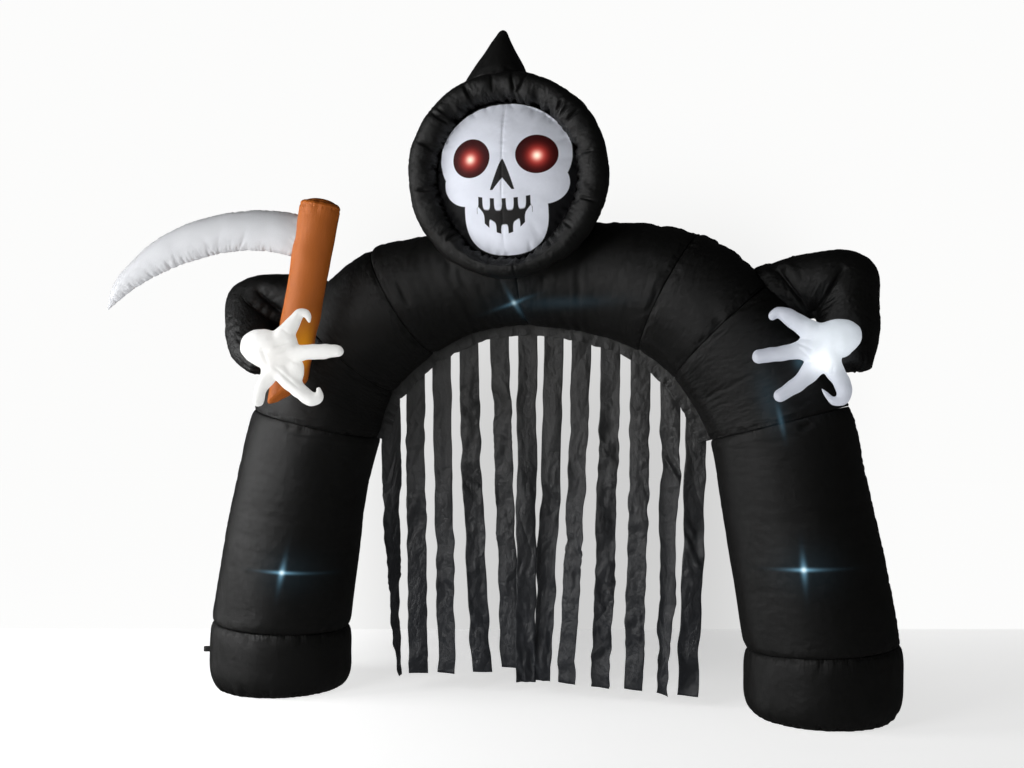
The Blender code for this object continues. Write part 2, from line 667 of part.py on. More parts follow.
def build_curtain(parts, cloth):
    places = np.concatenate([
        section_places(KNOT_OF[start], KNOT_OF[end]) for name, start, end in SECTIONS[1:-1]
    ])
    outer, inner = band_lines(places)
    corners = ((outer, -CLOTH / 2), (inner, -CLOTH / 2), (inner, CLOTH / 2), (outer, CLOTH / 2))
    rings = np.stack(
        [np.insert(line, 1, depth, axis=1) for line, depth in corners], axis=1
    )
    add_object("curtain_band", closed_mesh("curtain_band", rings), cloth, parts)
    order = np.argsort(inner[:, 0])
    for number, strip in enumerate(STRIPS, start=1):
        grid = strip_grid(strip, number, inner[order])
        thin_cloth(f"strip_{number:02d}", grid, CLOTH, cloth, parts)


def strip_grid(strip, number, band_edge, rows=12, columns=4):
    """Points of one hanging strip: its top follows the band, and it turns and ripples below.

    Down runs from 0 at the top to 1 at the hem, and loose is the same below the sewn part.  The
    strip leans more the lower it is, but most of its turn is taken near the top."""
    down = np.concatenate(([0.0], np.linspace(SEWN_SHARE, 1, rows)))[:, None]
    loose = np.clip((down - SEWN_SHARE) / (1 - SEWN_SHARE), 0, 1)
    across = np.linspace(-0.5, 0.5, columns)[None, :]
    x_middle = strip.x_top + (strip.x_low - strip.x_top) * down**1.4
    turn = np.radians(strip.turn) * loose**0.6
    x = x_middle + STRIP_WIDTH * across * np.cos(turn)
    x_sewn = strip.x_top + STRIP_WIDTH * across
    z_top = np.interp(x_sewn, band_edge[:, 0], band_edge[:, 1]) + STRIP_OVERLAP
    z = z_top + (strip.z_low - z_top) * down
    fade = np.clip(loose / (5 * SEWN_SHARE), 0, 1)
    ripple = STRIP_RIPPLE * np.sin(9 * down + 2.1 * number) * np.cos(math.pi * across)
    sway = strip.swing * np.sin(0.75 * math.pi * loose)
    start = CLOTH + 2 * GAP
    y = start + STRIP_WIDTH * across * np.sin(turn) + fade * (ripple + sway)
    return np.stack(np.broadcast_arrays(x, y, z), axis=-1)


# ---------------------------------------------------------------- tether loop
def build_tether_loop(parts, webbing):
    """A bight of flat webbing that stands out from the left foot."""
    facing = math.radians(LOOP_FACING)
    outward = np.array((math.cos(facing), math.sin(facing), 0.0))
    along = np.array((-outward[1], outward[0], 0.0))
    foot = next(r for r in ARCH if r.name == "foot_left")
    middle = np.array(((foot.x_in + foot.x_out) / 2, 0.0, LOOP_HEIGHT))
    half = LOOP_HALF_SPAN
    reach = LOOP_REACH - half
    start = (FOOT_RADIUS + FOOT_SWELL) * math.cos(math.pi / ARCH_SIDES) + 2 * GAP
    bend = [(half * math.cos(a), reach + half * math.sin(a)) for a in np.linspace(math.pi, 0, 9)]
    route = [(-half, 0.0), *bend, (half, 0.0)]
    edges = [
        [middle + outward * (start + out) + along * side + np.array((0, 0, lift))
         for lift in (-LOOP_WIDTH / 2, LOOP_WIDTH / 2)]
        for side, out in route
    ]
    thin_cloth("tether_loop", edges, WEBBING, webbing, parts)


def main():
    clear_scene()
    parts = new_collection("inflatable_arch")
    cutters = new_collection("clearances")
    black = new_material("black_polyester", (0.012, 0.012, 0.013), 0.45)
    curtain = new_material("curtain_cloth", (0.020, 0.020, 0.021), 0.60)
    white = new_material("glove_cloth", (0.86, 0.86, 0.87), 0.55)
    skull = new_material("face_print", (0.80, 0.81, 0.85), 0.50)
    orange = new_material("pole_cloth", (0.42, 0.15, 0.055), 0.48)
    grey = new_material("blade_cloth", (0.60, 0.62, 0.66), 0.45)
    webbing = new_material("webbing", (0.015, 0.015, 0.015), 0.70)

    arch_clearance = build_arch(parts, cutters, black)
    sleeves = build_sleeves(parts, cutters, black, arch_clearance)
    pole = build_scythe(parts, cutters, orange, grey)
    build_hands(parts, cutters, white, {
        "left": (sleeves["left"], pole, arch_clearance),
        "right": (sleeves["right"], arch_clearance),
    })
    build_hood(parts, cutters, black, skull, arch_clearance)
    build_curtain(parts, curtain)
    build_tether_loop(parts, webbing)


main()
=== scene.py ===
"""The looks of an inflatable hooded archway with a strip curtain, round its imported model.

Every piece is a surface over two parameters, worked out with numpy as whole arrays.  Sizes are in
metres, and places are measured from the floor midway between the feet unless a name says else.
"""
import math

import bpy
import numpy as np
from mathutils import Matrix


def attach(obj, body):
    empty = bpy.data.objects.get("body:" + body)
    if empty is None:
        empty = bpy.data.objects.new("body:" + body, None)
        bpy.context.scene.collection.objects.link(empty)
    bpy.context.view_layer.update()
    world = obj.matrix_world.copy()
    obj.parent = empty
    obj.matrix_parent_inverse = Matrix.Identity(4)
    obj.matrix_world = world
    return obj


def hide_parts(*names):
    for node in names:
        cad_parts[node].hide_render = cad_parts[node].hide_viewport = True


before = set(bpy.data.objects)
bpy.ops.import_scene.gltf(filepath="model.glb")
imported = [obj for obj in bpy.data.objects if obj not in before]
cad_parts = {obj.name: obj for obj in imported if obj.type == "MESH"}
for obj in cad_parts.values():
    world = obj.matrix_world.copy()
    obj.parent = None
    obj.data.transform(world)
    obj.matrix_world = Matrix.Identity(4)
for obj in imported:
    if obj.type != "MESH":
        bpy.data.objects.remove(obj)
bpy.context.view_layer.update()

# ---------------------------------------------------------------- the arch
# Eight sewn sections of thin black polyester make one bent tube that air holds up.  The seam
# between two sections draws the tube in and gathers the cloth, and so does the long seam that
# runs along the tube's outer line.
MIDDLE = np.array((0.171, 0.119, 0.0))      # the spot between the feet, from the frame's origin
SEAM_GAP = 0.0006
SEAM_DEPTH = 0.012
SEAM_REACH = 0.060
# Inner and outer point of the tube in the plane y = 0: x, z, x, z.
ARCH = {
    "foot_left": (-0.850, 0.256, -1.443, 0.292),
    "leg_low_left": (-0.808, 0.571, -1.390, 0.629),
    "leg_high_left": (-0.755, 0.905, -1.318, 0.965),
    "leg_left": (-0.705, 1.077, -1.255, 1.208),
    "shoulder_left": (-0.635, 1.273, -1.030, 1.634),
    "upper_left": (-0.454, 1.435, -0.716, 1.893),
    "crown_left": (-0.250, 1.528, -0.385, 1.966),
    "middle": (-0.040, 1.549, -0.062, 1.992),
    "crown_right": (0.190, 1.520, 0.300, 1.977),
    "upper_right": (0.420, 1.438, 0.675, 1.916),
    "shoulder_right": (0.560, 1.326, 0.962, 1.710),
    "leg_right": (0.705, 1.075, 1.255, 1.215),
    "leg_high_right": (0.737, 0.915, 1.310, 0.965),
    "leg_low_right": (0.790, 0.571, 1.382, 0.629),
    "foot_right": (0.838, 0.256, 1.439, 0.292),
}
SECTIONS = {
    "leg_left": ("foot_left", "leg_left"),
    "shoulder_left": ("leg_left", "shoulder_left"),
    "upper_left": ("shoulder_left", "upper_left"),
    "crown_left": ("upper_left", "middle"),
    "crown_right": ("middle", "upper_right"),
    "upper_right": ("upper_right", "shoulder_right"),
    "shoulder_right": ("shoulder_right", "leg_right"),
    "leg_right": ("leg_right", "foot_right"),
}


def natural_spline(rows):
    """Natural cubic spline through rows of values, spaced by their distance from one another.

    Between two knots a value is the straight mix of both ends plus a sixth of the bend at each
    end times (share cubed - share) times the step squared; the bends solve the usual band."""
    rows = np.asarray(rows, float)
    steps = np.linalg.norm(np.diff(rows, axis=0), axis=1)
    knots = np.concatenate(([0.0], np.cumsum(steps)))
    before, after = steps[:-1], steps[1:]
    inside = np.arange(1, len(knots) - 1)
    band = np.eye(len(knots))
    band[inside, inside - 1], band[inside, inside], band[inside, inside + 1] = (
        before, 2 * (before + after), after)
    slopes = np.diff(rows, axis=0) / steps[:, None]
    right = np.zeros_like(rows)
    right[1:-1] = 6 * np.diff(slopes, axis=0)
    bend = np.linalg.solve(band, right)

    def at(distance):
        distance = np.atleast_1d(distance)
        i = np.clip(np.searchsorted(knots, distance, side="right") - 1, 0, len(steps) - 1)
        step = steps[i][:, None]
        share = (distance - knots[i])[:, None] / step
        rest = 1 - share
        return (rows[i] * rest + rows[i + 1] * share
                + step**2 / 6 * (bend[i] * (rest**3 - rest) + bend[i + 1] * (share**3 - share)))

    return at, knots


arch_at, arch_knots = natural_spline(list(ARCH.values()))
arch_place = dict(zip(ARCH, arch_knots))


def crowded(start, end, count, drawn=0.75):
    """Places from start to end that lie closer at both ends: a share t of the way becomes
    t - drawn sin(2 pi t) / 2 pi, so the end spacing is (1 - drawn) of the average."""
    t = np.linspace(0, 1, count)
    return start + (end - start) * (t - drawn * np.sin(2 * math.pi * t) / (2 * math.pi))


def arch_tube(places, turn, short):
    """A ring at each place, spanned by the line from the inner to the outer point of the tube and
    by the Y axis, and smaller than full by `short`."""
    x_in, z_in, x_out, z_out = arch_at(places).T
    half = np.stack((x_out - x_in, 0 * x_in, z_out - z_in), axis=1)[:, None] / 2
    centre = np.stack((x_out + x_in, 0 * x_in, z_out + z_in), axis=1)[:, None] / 2
    radius = np.linalg.norm(half, axis=2, keepdims=True)
    scale = 1 - short[..., None] / radius
    deep = radius * np.array((0.0, 1.0, 0.0))
    return centre + scale * (half * np.cos(turn)[None, :, None] + deep * np.sin(turn)[None, :, None])


def drawn_in(away):
    """How far a seam draws the tube in: all of it at the seam, and a quarter circle to none."""
    share = 1 - np.clip(away / SEAM_REACH, 0.0, 1.0)
    return SEAM_DEPTH * (1 - np.sqrt(1 - share**2))


def gathers(away, along, length, count, reach, depth, seed, width=0.008):
    """Depth of the troughs of a gathered seam: each is a bell across its own line, which starts at
    a random place on the seam, leans a little, widens and dies out away from the seam.

    Places are given by how far they are `away` from the seam and how far `along` it, and the seam
    is `length` long.  It has `count` troughs, about `reach` long, `depth` deep and `width` wide."""
    draw = np.random.default_rng(seed)
    total = np.zeros(np.broadcast(away, along).shape)
    for _ in range(count):
        place, lean = draw.uniform(0, length), draw.normal(0, 0.30)
        far, wide = reach * draw.uniform(0.35, 1.5), width * draw.uniform(0.6, 1.6)
        off = (along - place - lean * away + length / 2) % length - length / 2
        bell = np.exp(-(off / (wide + 0.15 * away)) ** 2 - (away / far) ** 2)
        total += depth * draw.uniform(0.25, 1.0) * bell
    return total


def soft_noise(points, size, seed):
    """Smooth unevenness of about the given size: the sum of 20 cosine waves of random direction,
    length and phase, which meets itself round any closed shape."""
    draw = np.random.default_rng(seed)
    waves = draw.normal(0, 2.2 / size, (20, 3))
    phase = draw.uniform(0, 2 * math.pi, 20)
    return np.cos(points @ waves.T + phase).sum(axis=-1) / math.sqrt(20)


def outward(grid, joined=False):
    """Unit normals of a grid whose columns run round it: the step round crossed with the step
    along, turned to point away from each ring's own middle."""
    around = np.roll(grid, -1, axis=1) - np.roll(grid, 1, axis=1)
    if joined:
        along = np.roll(grid, -1, axis=0) - np.roll(grid, 1, axis=0)
    else:
        along = np.gradient(grid, axis=0)
    normal = np.cross(around, along)
    normal /= np.maximum(np.linalg.norm(normal, axis=2, keepdims=True), 1e-12)
    away = grid - grid.mean(axis=1, keepdims=True)
    return normal * np.sign((normal * away).sum())


def creases(grid, normal, strokes):
    """Depth of single creases on the front: each is a bell round the straight line between two
    points (x, z), fading to nothing at both ends.  A row is x, z, x, z, half width, depth."""
    flat = grid[..., (0, 2)]
    total = np.zeros(grid.shape[:2])
    for x_from, z_from, x_to, z_to, wide, depth in strokes:
        start, step = np.array((x_from, z_from)), np.array((x_to - x_from, z_to - z_from))
        share = np.clip((flat - start) @ step / (step @ step), 0, 1)
        off = np.linalg.norm(flat - start - share[..., None] * step, axis=-1)
        total += depth * np.exp(-(off / wide) ** 2) * np.sin(math.pi * share).clip(0) ** 0.6
    return total * np.clip(-3 * normal[..., 1], 0, 1)


def skin(name, grid, material, joined=False, round_seam=0.0, long_seam=0.0):
    """A closed piece from a grid whose columns run round it.  Its rows are joined last to first,
    or its two ends are closed by fans to their middle points.  The UV map is in metres: the mean
    distance round and along.  Two numbers are kept for shading, each 1 at a seam and 0 far from
    it: one for seams that run round the piece and one for those that run along it."""
    rows, columns = grid.shape[:2]
    row = np.arange(rows if joined else rows - 1)[:, None]
    column = np.arange(columns)[None, :]
    corners = [(row, column), (row, column + 1), (row + 1, column + 1), (row + 1, column)]
    quads = np.stack(np.broadcast_arrays(
        *[(r % rows) * columns + c % columns for r, c in corners]), axis=-1).reshape(-1, 4)
    round_step = np.linalg.norm(np.roll(grid, -1, axis=1) - grid, axis=2).mean(axis=0)
    along_step = np.linalg.norm(np.roll(grid, -1, axis=0) - grid, axis=2).mean(axis=1)
    past = np.concatenate(([0.0], np.cumsum(round_step)))
    down = np.concatenate(([0.0], np.cumsum(along_step)))
    uv = np.stack([np.stack(np.broadcast_arrays(past[c], down[r]), axis=-1)
                   for r, c in corners], axis=2).reshape(-1, 2)
    points = grid.reshape(-1, 3)
    faces = quads.tolist()
    if not joined:
        points = np.vstack((points, grid[0].mean(axis=0), grid[-1].mean(axis=0)))
        ring = np.arange(columns)
        after = (ring + 1) % columns
        last = (rows - 1) * columns
        first_fan = np.stack((after, ring, np.full(columns, rows * columns)), axis=1)
        last_fan = np.stack((last + ring, last + after, np.full(columns, rows * columns + 1)), axis=1)
        fans = np.vstack((first_fan, last_fan))
        faces += fans.tolist()
        uv = np.vstack((uv, points[fans.ravel()][:, (0, 1)]))
    corner = points[quads]
    volume = np.einsum("ij,ij->", corner[:, 0], np.cross(corner[:, 1], corner[:, 2])
                       + np.cross(corner[:, 2], corner[:, 3]))
    mesh = bpy.data.meshes.new(name)
    mesh.from_pydata((points + MIDDLE).tolist(), [], faces)
    mesh.uv_layers.new(name="cloth").data.foreach_set("uv", uv.ravel())
    for kind, near in (("round_seam", round_seam), ("long_seam", long_seam)):
        kept = np.zeros(len(points))
        kept[:rows * columns] = np.broadcast_to(near, (rows, columns)).ravel()
        mesh.attributes.new(kind, "FLOAT", "POINT").data.foreach_set("value", kept)
    if volume < 0:
        mesh.flip_normals()
    mesh.shade_smooth()
    mesh.materials.append(material)
    piece = bpy.data.objects.new(name, mesh)
    bpy.context.scene.collection.objects.link(piece)
    return piece


SLACK = 0.007           # how far inside its shape a sewn piece of cloth starts
SWELL = 0.03            # share by which the cloth grows
PRESSURE = 4.0
UNEVENNESS = 0.0005     # random start that the wrinkles grow from
LAST_FRAME = 14
WRINKLE_LIMIT = 0.009


def blown(grids, sewn, joined=False):
    """How far off each grid the air pushes its cloth, from Blender's cloth simulation: the cloth
    starts smaller, stays put where `sewn` is true, and wrinkles as the pressure stretches it.  The
    heights are along the normals, with each row's mean taken off, and cut off at the wrinkle limit
    both ways."""
    draw = np.random.default_rng(5)
    trials = []
    for grid, fixed in zip(grids, sewn):
        normal = outward(grid, joined)
        uneven = UNEVENNESS * draw.normal(size=grid.shape)
        trial = skin("trial", grid - SLACK * normal + uneven, None, joined)
        fixed = np.flatnonzero(np.broadcast_to(fixed, grid.shape[:2])).tolist()
        fan_points = list(range(normal[..., 0].size, len(trial.data.vertices)))
        trial.vertex_groups.new(name="sewn").add(fixed + fan_points, 1.0, "REPLACE")
        air = trial.modifiers.new("air", "CLOTH").settings
        air.use_pressure, air.uniform_pressure_force = True, PRESSURE
        air.effector_weights.gravity = 0.0
        air.vertex_group_mass = "sewn"
        air.shrink_min = air.shrink_max = -SWELL
        air.quality, air.mass = 5, 0.2
        air.tension_stiffness = air.compression_stiffness = 40
        air.shear_stiffness, air.bending_stiffness = 5, 0.05
        air.tension_damping = air.compression_damping = air.shear_damping = 10
        air.air_damping = 5
        trial.modifiers["air"].collision_settings.use_collision = False
        trials.append((trial, grid, normal))
    for frame_number in range(1, LAST_FRAME + 1):
        bpy.context.scene.frame_set(frame_number)
    graph = bpy.context.evaluated_depsgraph_get()
    heights = []
    for trial, grid, normal in trials:
        points = np.empty(3 * len(trial.data.vertices))
        trial.evaluated_get(graph).data.vertices.foreach_get("co", points)
        points = points[:grid.size].reshape(grid.shape) - MIDDLE
        height = ((points - grid) * normal).sum(axis=2)
        height -= height.mean(axis=1, keepdims=True)
        heights.append(height.clip(-WRINKLE_LIMIT, WRINKLE_LIMIT))
    for trial, _, _ in trials:
        bpy.data.meshes.remove(trial.data)
    bpy.context.scene.frame_set(1)
    return heights


def read_at(values, rows, columns):
    """Values of a grid read at other places, given as row numbers and as column numbers that run
    on round it, by straight mixing of the four neighbours."""
    row = np.clip(rows, 0, len(values) - 1.001)[:, None]
    column = (columns % values.shape[1])[None, :]
    r, c = row.astype(int), column.astype(int)
    after = (c + 1) % values.shape[1]
    first = values[r, c] * (1 - column + c) + values[r, after] * (column - c)
    second = values[r + 1, c] * (1 - column + c) + values[r + 1, after] * (column - c)
    return first * (1 - row + r) + second * (row - r)


def air_filled(piece, node):
    """The model's calls for a cover that stands for a node and is blown up by air."""
    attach(piece, "root")
    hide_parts(node)


class Socket:
    """An output of a shader node, so that shader maths reads as sums of sockets and numbers."""

    def __init__(self, tree, output):
        self.tree, self.output = tree, output

    def node(self, kind, settings=None, inputs=None, output=0):
        """Add any node: its settings first, then the value or link of each of its sockets."""
        made = self.tree.nodes.new(kind)
        for name, value in (settings or {}).items():
            setattr(made, name, value)
        for name, value in (inputs or {}).items():
            if isinstance(value, Socket):
                self.tree.links.new(value.output, made.inputs[name])
            else:
                made.inputs[name].default_value = value
        return Socket(self.tree, made.outputs[output])

    def maths(self, operation, *values):
        return self.node("ShaderNodeMath", {"operation": operation}, dict(enumerate(values)))

    def __add__(self, other):
        return self.maths("ADD", self, other)

    def __sub__(self, other):
        return self.maths("SUBTRACT", self, other)

    def __rsub__(self, other):
        return self.maths("SUBTRACT", other, self)

    def __mul__(self, other):
        return self.maths("MULTIPLY", self, other)

    def __truediv__(self, other):
        return self.maths("DIVIDE", self, other)

    def __rtruediv__(self, other):
        return self.maths("DIVIDE", other, self)

    def __pow__(self, power):
        return self.maths("POWER", self, power)

    def __neg__(self):
        return self.maths("MULTIPLY", self, -1.0)

    def __abs__(self):
        return self.maths("ABSOLUTE", self)

    __radd__ = __add__
    __rmul__ = __mul__

    def within(self, low=0.0, high=1.0):
        return self.maths("MINIMUM", self.maths("MAXIMUM", self, low), high)

    def bell(self):
        """exp(-self squared)."""
        return self.maths("EXPONENT", -(self * self))

    def fade(self, length):
        """exp(-distance / length) on both sides of zero."""
        return self.maths("EXPONENT", abs(self) * (-1 / length))

    def mix(self, first, second):
        """The first colour where this mask is 0 and the second where it is 1."""
        colours = {"Factor": self, "A": first, "B": second}
        made = self.tree.nodes.new("ShaderNodeMix")
        made.data_type = "RGBA"
        for name, value in colours.items():
            socket = next(s for s in made.inputs if s.name == name and s.enabled)
            if isinstance(value, Socket):
                self.tree.links.new(value.output, socket)
            else:
                socket.default_value = value if isinstance(value, float) else (*value, 1.0)
        return Socket(self.tree, next(s for s in made.outputs if s.enabled))


class Cloth:
    """A cloth's material: its shader, and the places that its patterns are read at."""

    def __init__(self, name, **uniform):
        self.material = bpy.data.materials.new(name)
        self.material.use_nodes = True
        self.tree = self.material.node_tree
        self.shader = self.tree.nodes["Principled BSDF"]
        for socket, value in uniform.items():
            self.shader.inputs[socket.replace("_", " ")].default_value = value
        place = self.tree.nodes.new("ShaderNodeTexCoord")
        self.place = Socket(self.tree, place.outputs["Object"])
        self.flat = Socket(self.tree, place.outputs["UV"])
        self.x, self.y, self.z = self.split(self.place)
        self.u, self.v = self.split(self.flat)[:2]

    def split(self, vector):
        made = self.tree.nodes.new("ShaderNodeSeparateXYZ")
        self.tree.links.new(vector.output, made.inputs[0])
        return [Socket(self.tree, output) for output in made.outputs]

    def noise(self, size, detail=3.0, stretch=None, place=None):
        """Fractal noise from 0 to 1 whose patches are about `size` across."""
        place = place or self.place
        if stretch:
            place = place.node("ShaderNodeMapping", None, {"Vector": place, "Scale": stretch})
        return place.node("ShaderNodeTexNoise", None,
                          {"Vector": place, "Scale": 1 / size, "Detail": detail, "Roughness": 0.55})

    def kept(self, name):
        """A number that is kept at each point of the mesh."""
        return self.place.node("ShaderNodeAttribute", {"attribute_name": name}, None, "Fac")

    def weave(self, pitch):
        """Plain weave: the product of a sine over each of the two threads' directions."""
        warp = self.place.maths("SINE", self.u * (2 * math.pi / pitch))
        weft = self.place.maths("SINE", self.v * (2 * math.pi / pitch))
        return warp * weft

    def puckers(self):
        """Fine gathers from 0 to 1: noise drawn out across each seam, and none far from seams."""
        return (self.kept("round_seam") * self.noise(0.045, 2.0, (5.0, 1.0, 1.0), self.flat)
                + self.kept("long_seam") * self.noise(0.045, 2.0, (1.0, 5.0, 1.0), self.flat))

    def set(self, socket, value):
        self.tree.links.new(value.output, self.shader.inputs[socket])

    def raised(self, height, strength=1.0):
        """Bump from a height in metres."""
        self.set("Normal", height.node(
            "ShaderNodeBump", None, {"Height": height, "Strength": strength, "Distance": 1.0}))


# Lamps sewn inside the tube glow through the black cloth as stars: x and z from between the feet,
# brightness, slope of the long streak, and lean of the short beam.
LAMPS = (
    (-1.022, 0.527, 1.00, -0.07, 0.20),
    (1.066, 0.603, 1.00, 0.03, -0.08),
    (-0.068, 1.632, 0.30, 0.30, -0.45),
)
# Their light also spreads as faint haze, and the three hazes round the right hand are painted light
# from that hand's lamp falling on the cloth: x, z, half width, half height, lean, brightness.
HAZES = (
    (0.142, 1.628, 0.190, 0.022, 0.0, 0.020),
    (1.056, 1.384, 0.020, 0.030, 0.0, 0.070),
    (0.985, 1.160, 0.009, 0.050, -0.20, 0.075),
    (0.945, 1.235, 0.045, 0.100, -0.25, 0.020),
)


def black_polyester():
    cloth = Cloth("black_polyester", Specular_IOR_Level=0.36, Emission_Strength=1.0)
    patches = cloth.noise(0.30)
    dust = cloth.noise(0.02, 5.0) * (1 - cloth.z / 0.5).within()
    colour = patches.mix((0.0040, 0.0040, 0.0039), (0.0065, 0.0064, 0.0061))
    cloth.set("Base Color", (dust * 0.08).mix(colour, (0.05, 0.049, 0.047)))
    cloth.set("Roughness", 0.40 + 0.12 * cloth.noise(0.05, 4.0))
    cloth.raised(0.00012 * cloth.weave(0.0012) + 0.006 * cloth.puckers()
                 + 0.0040 * cloth.noise(0.10, 2.0) + 0.0012 * cloth.noise(0.025, 3.0))
    front = ((MIDDLE[1] - 0.03 - cloth.y) / 0.10).within()
    glow, core = 0.0, 0.0
    for x, z, bright, slope, lean in LAMPS:
        across, up = cloth.x - (x + MIDDLE[0]), cloth.z - z
        streak = across.fade(0.032) * ((up - slope * across) / 0.0065).bell()
        beam = up.fade(0.022) * ((across - lean * up) / 0.010).bell()
        haze = (across / 0.10).bell() * (up / 0.08).bell()
        glow = glow + bright * (0.65 * streak + 0.60 * beam + 0.012 * haze)
        core = core + bright * (across / 0.008).bell() * (up / 0.008).bell()
    for x, z, half_width, half_height, lean, bright in HAZES:
        across, up = cloth.x - (x + MIDDLE[0]), cloth.z - z
        glow = glow + bright * ((across - lean * up) / half_width).bell() * (up / half_height).bell()
    blue = (glow * front).within().mix((0.0, 0.0, 0.0), (0.33, 0.72, 1.0))
    cloth.set("Emission Color", (core * front).within().mix(blue, (0.85, 1.0, 1.0)))
    return cloth.material


# Single folds that show on the front: x, z, x, z, half width, depth.
ARCH_FOLDS = (
    (-0.534, 1.727, -0.487, 1.620, 0.012, 0.009),
    (-0.520, 1.735, -0.498, 1.690, 0.006, 0.005),
    (-0.610, 1.267, -0.460, 1.169, 0.010, 0.006),
    (0.874, 1.637, 0.935, 1.698, 0.008, 0.007),
    (0.947, 1.700, 0.954, 1.650, 0.006, 0.005),
    (0.969, 1.700, 0.973, 1.655, 0.006, 0.005),
    (1.050, 1.127, 1.104, 1.146, 0.011, 0.010),
)
# How strongly the long seam is gathered and the cloth wrinkled, where it isn't 1.
GATHERED = {"leg_left": 0.25, "leg_right": 0.25, "shoulder_left": 0.9, "shoulder_right": 0.7}
WRINKLED = {"leg_left": 0.30, "leg_right": 0.30}
TUBE_RADIUS = 0.29
TRIAL_COLUMNS = 200
TRIAL_STEP = 0.009      # between two rows of the cloth that is simulated
LONG_SEAM = 4.0
FAR = 9.0               # beyond the reach of any gather

black = black_polyester()
turn = crowded(0, 2 * math.pi, 225, 0.70)[:-1]
side = (turn + math.pi) % (2 * math.pi) - math.pi
trial_turn = np.linspace(0, 2 * math.pi, TRIAL_COLUMNS, endpoint=False)
trial_grids, trial_sewn = [], []
for start, end in SECTIONS.values():
    places = np.linspace(arch_place[start] + SEAM_GAP, arch_place[end] - SEAM_GAP,
                         int((arch_place[end] - arch_place[start]) / TRIAL_STEP))
    away = np.minimum(places - arch_place[start], arch_place[end] - places)[:, None]
    trial_grids.append(arch_tube(places, trial_turn, drawn_in(away) + 0 * trial_turn))
    trial_sewn.append((away < 0.001) | (trial_turn == 0))
puffs = blown(trial_grids, trial_sewn)
for number, (name, (start, end)) in enumerate(SECTIONS.items()):
    length = arch_place[end] - arch_place[start]
    places = crowded(arch_place[start] + SEAM_GAP, arch_place[end] - SEAM_GAP,
                     int(16 + (180 if length < 0.7 else 80) * length), 0.45)[:, None]
    away = np.minimum(places - arch_place[start], arch_place[end] - places)
    grid = arch_tube(places[:, 0], turn, drawn_in(away) + 0 * turn[None, :])
    normal = outward(grid)
    trough = creases(grid, normal, ARCH_FOLDS)
    round_place, girth = TUBE_RADIUS * turn[None, :], 2 * math.pi * TUBE_RADIUS
    for seam, away_seam in enumerate((places - arch_place[start], arch_place[end] - places)):
        close = np.clip(away_seam / 0.008, 0, 1)
        trough = trough + close * (
            gathers(away_seam, round_place, girth, 70, 0.030, 0.0030, 100 * number + seam, 0.006)
            + gathers(away_seam, round_place, girth, 16, 0.110, 0.0035, 900 + 100 * number + seam, 0.012))
    for edge, sign in enumerate((1, -1)):
        off_line = np.where(sign * side >= 0, TUBE_RADIUS * np.abs(side), FAR)[None, :]
        trough = trough + GATHERED.get(name, 1.0) * (
            gathers(off_line, places, LONG_SEAM, 200, 0.060, 0.0110, 7 + edge + 10 * number, 0.008)
            + gathers(off_line, places, LONG_SEAM, 70, 0.150, 0.0090, 507 + edge + 10 * number, 0.013))
    bulge = 0.0025 * soft_noise(grid, 0.22, number) * np.clip(away / SEAM_REACH, 0, 1)
    share = (places[:, 0] - places[0, 0]) / (places[-1, 0] - places[0, 0])
    puff = WRINKLED.get(name, 1.0) * read_at(
        puffs[number], share * (len(puffs[number]) - 1), turn * TRIAL_COLUMNS / (2 * math.pi))
    grid = grid + normal * (bulge + puff - trough)[..., None]
    piece = skin(name, grid, black, round_seam=np.exp(-away / 0.022),
                 long_seam=GATHERED.get(name, 1.0) * np.exp(-TUBE_RADIUS * np.abs(side)[None, :] / 0.05))
    air_filled(piece, name)

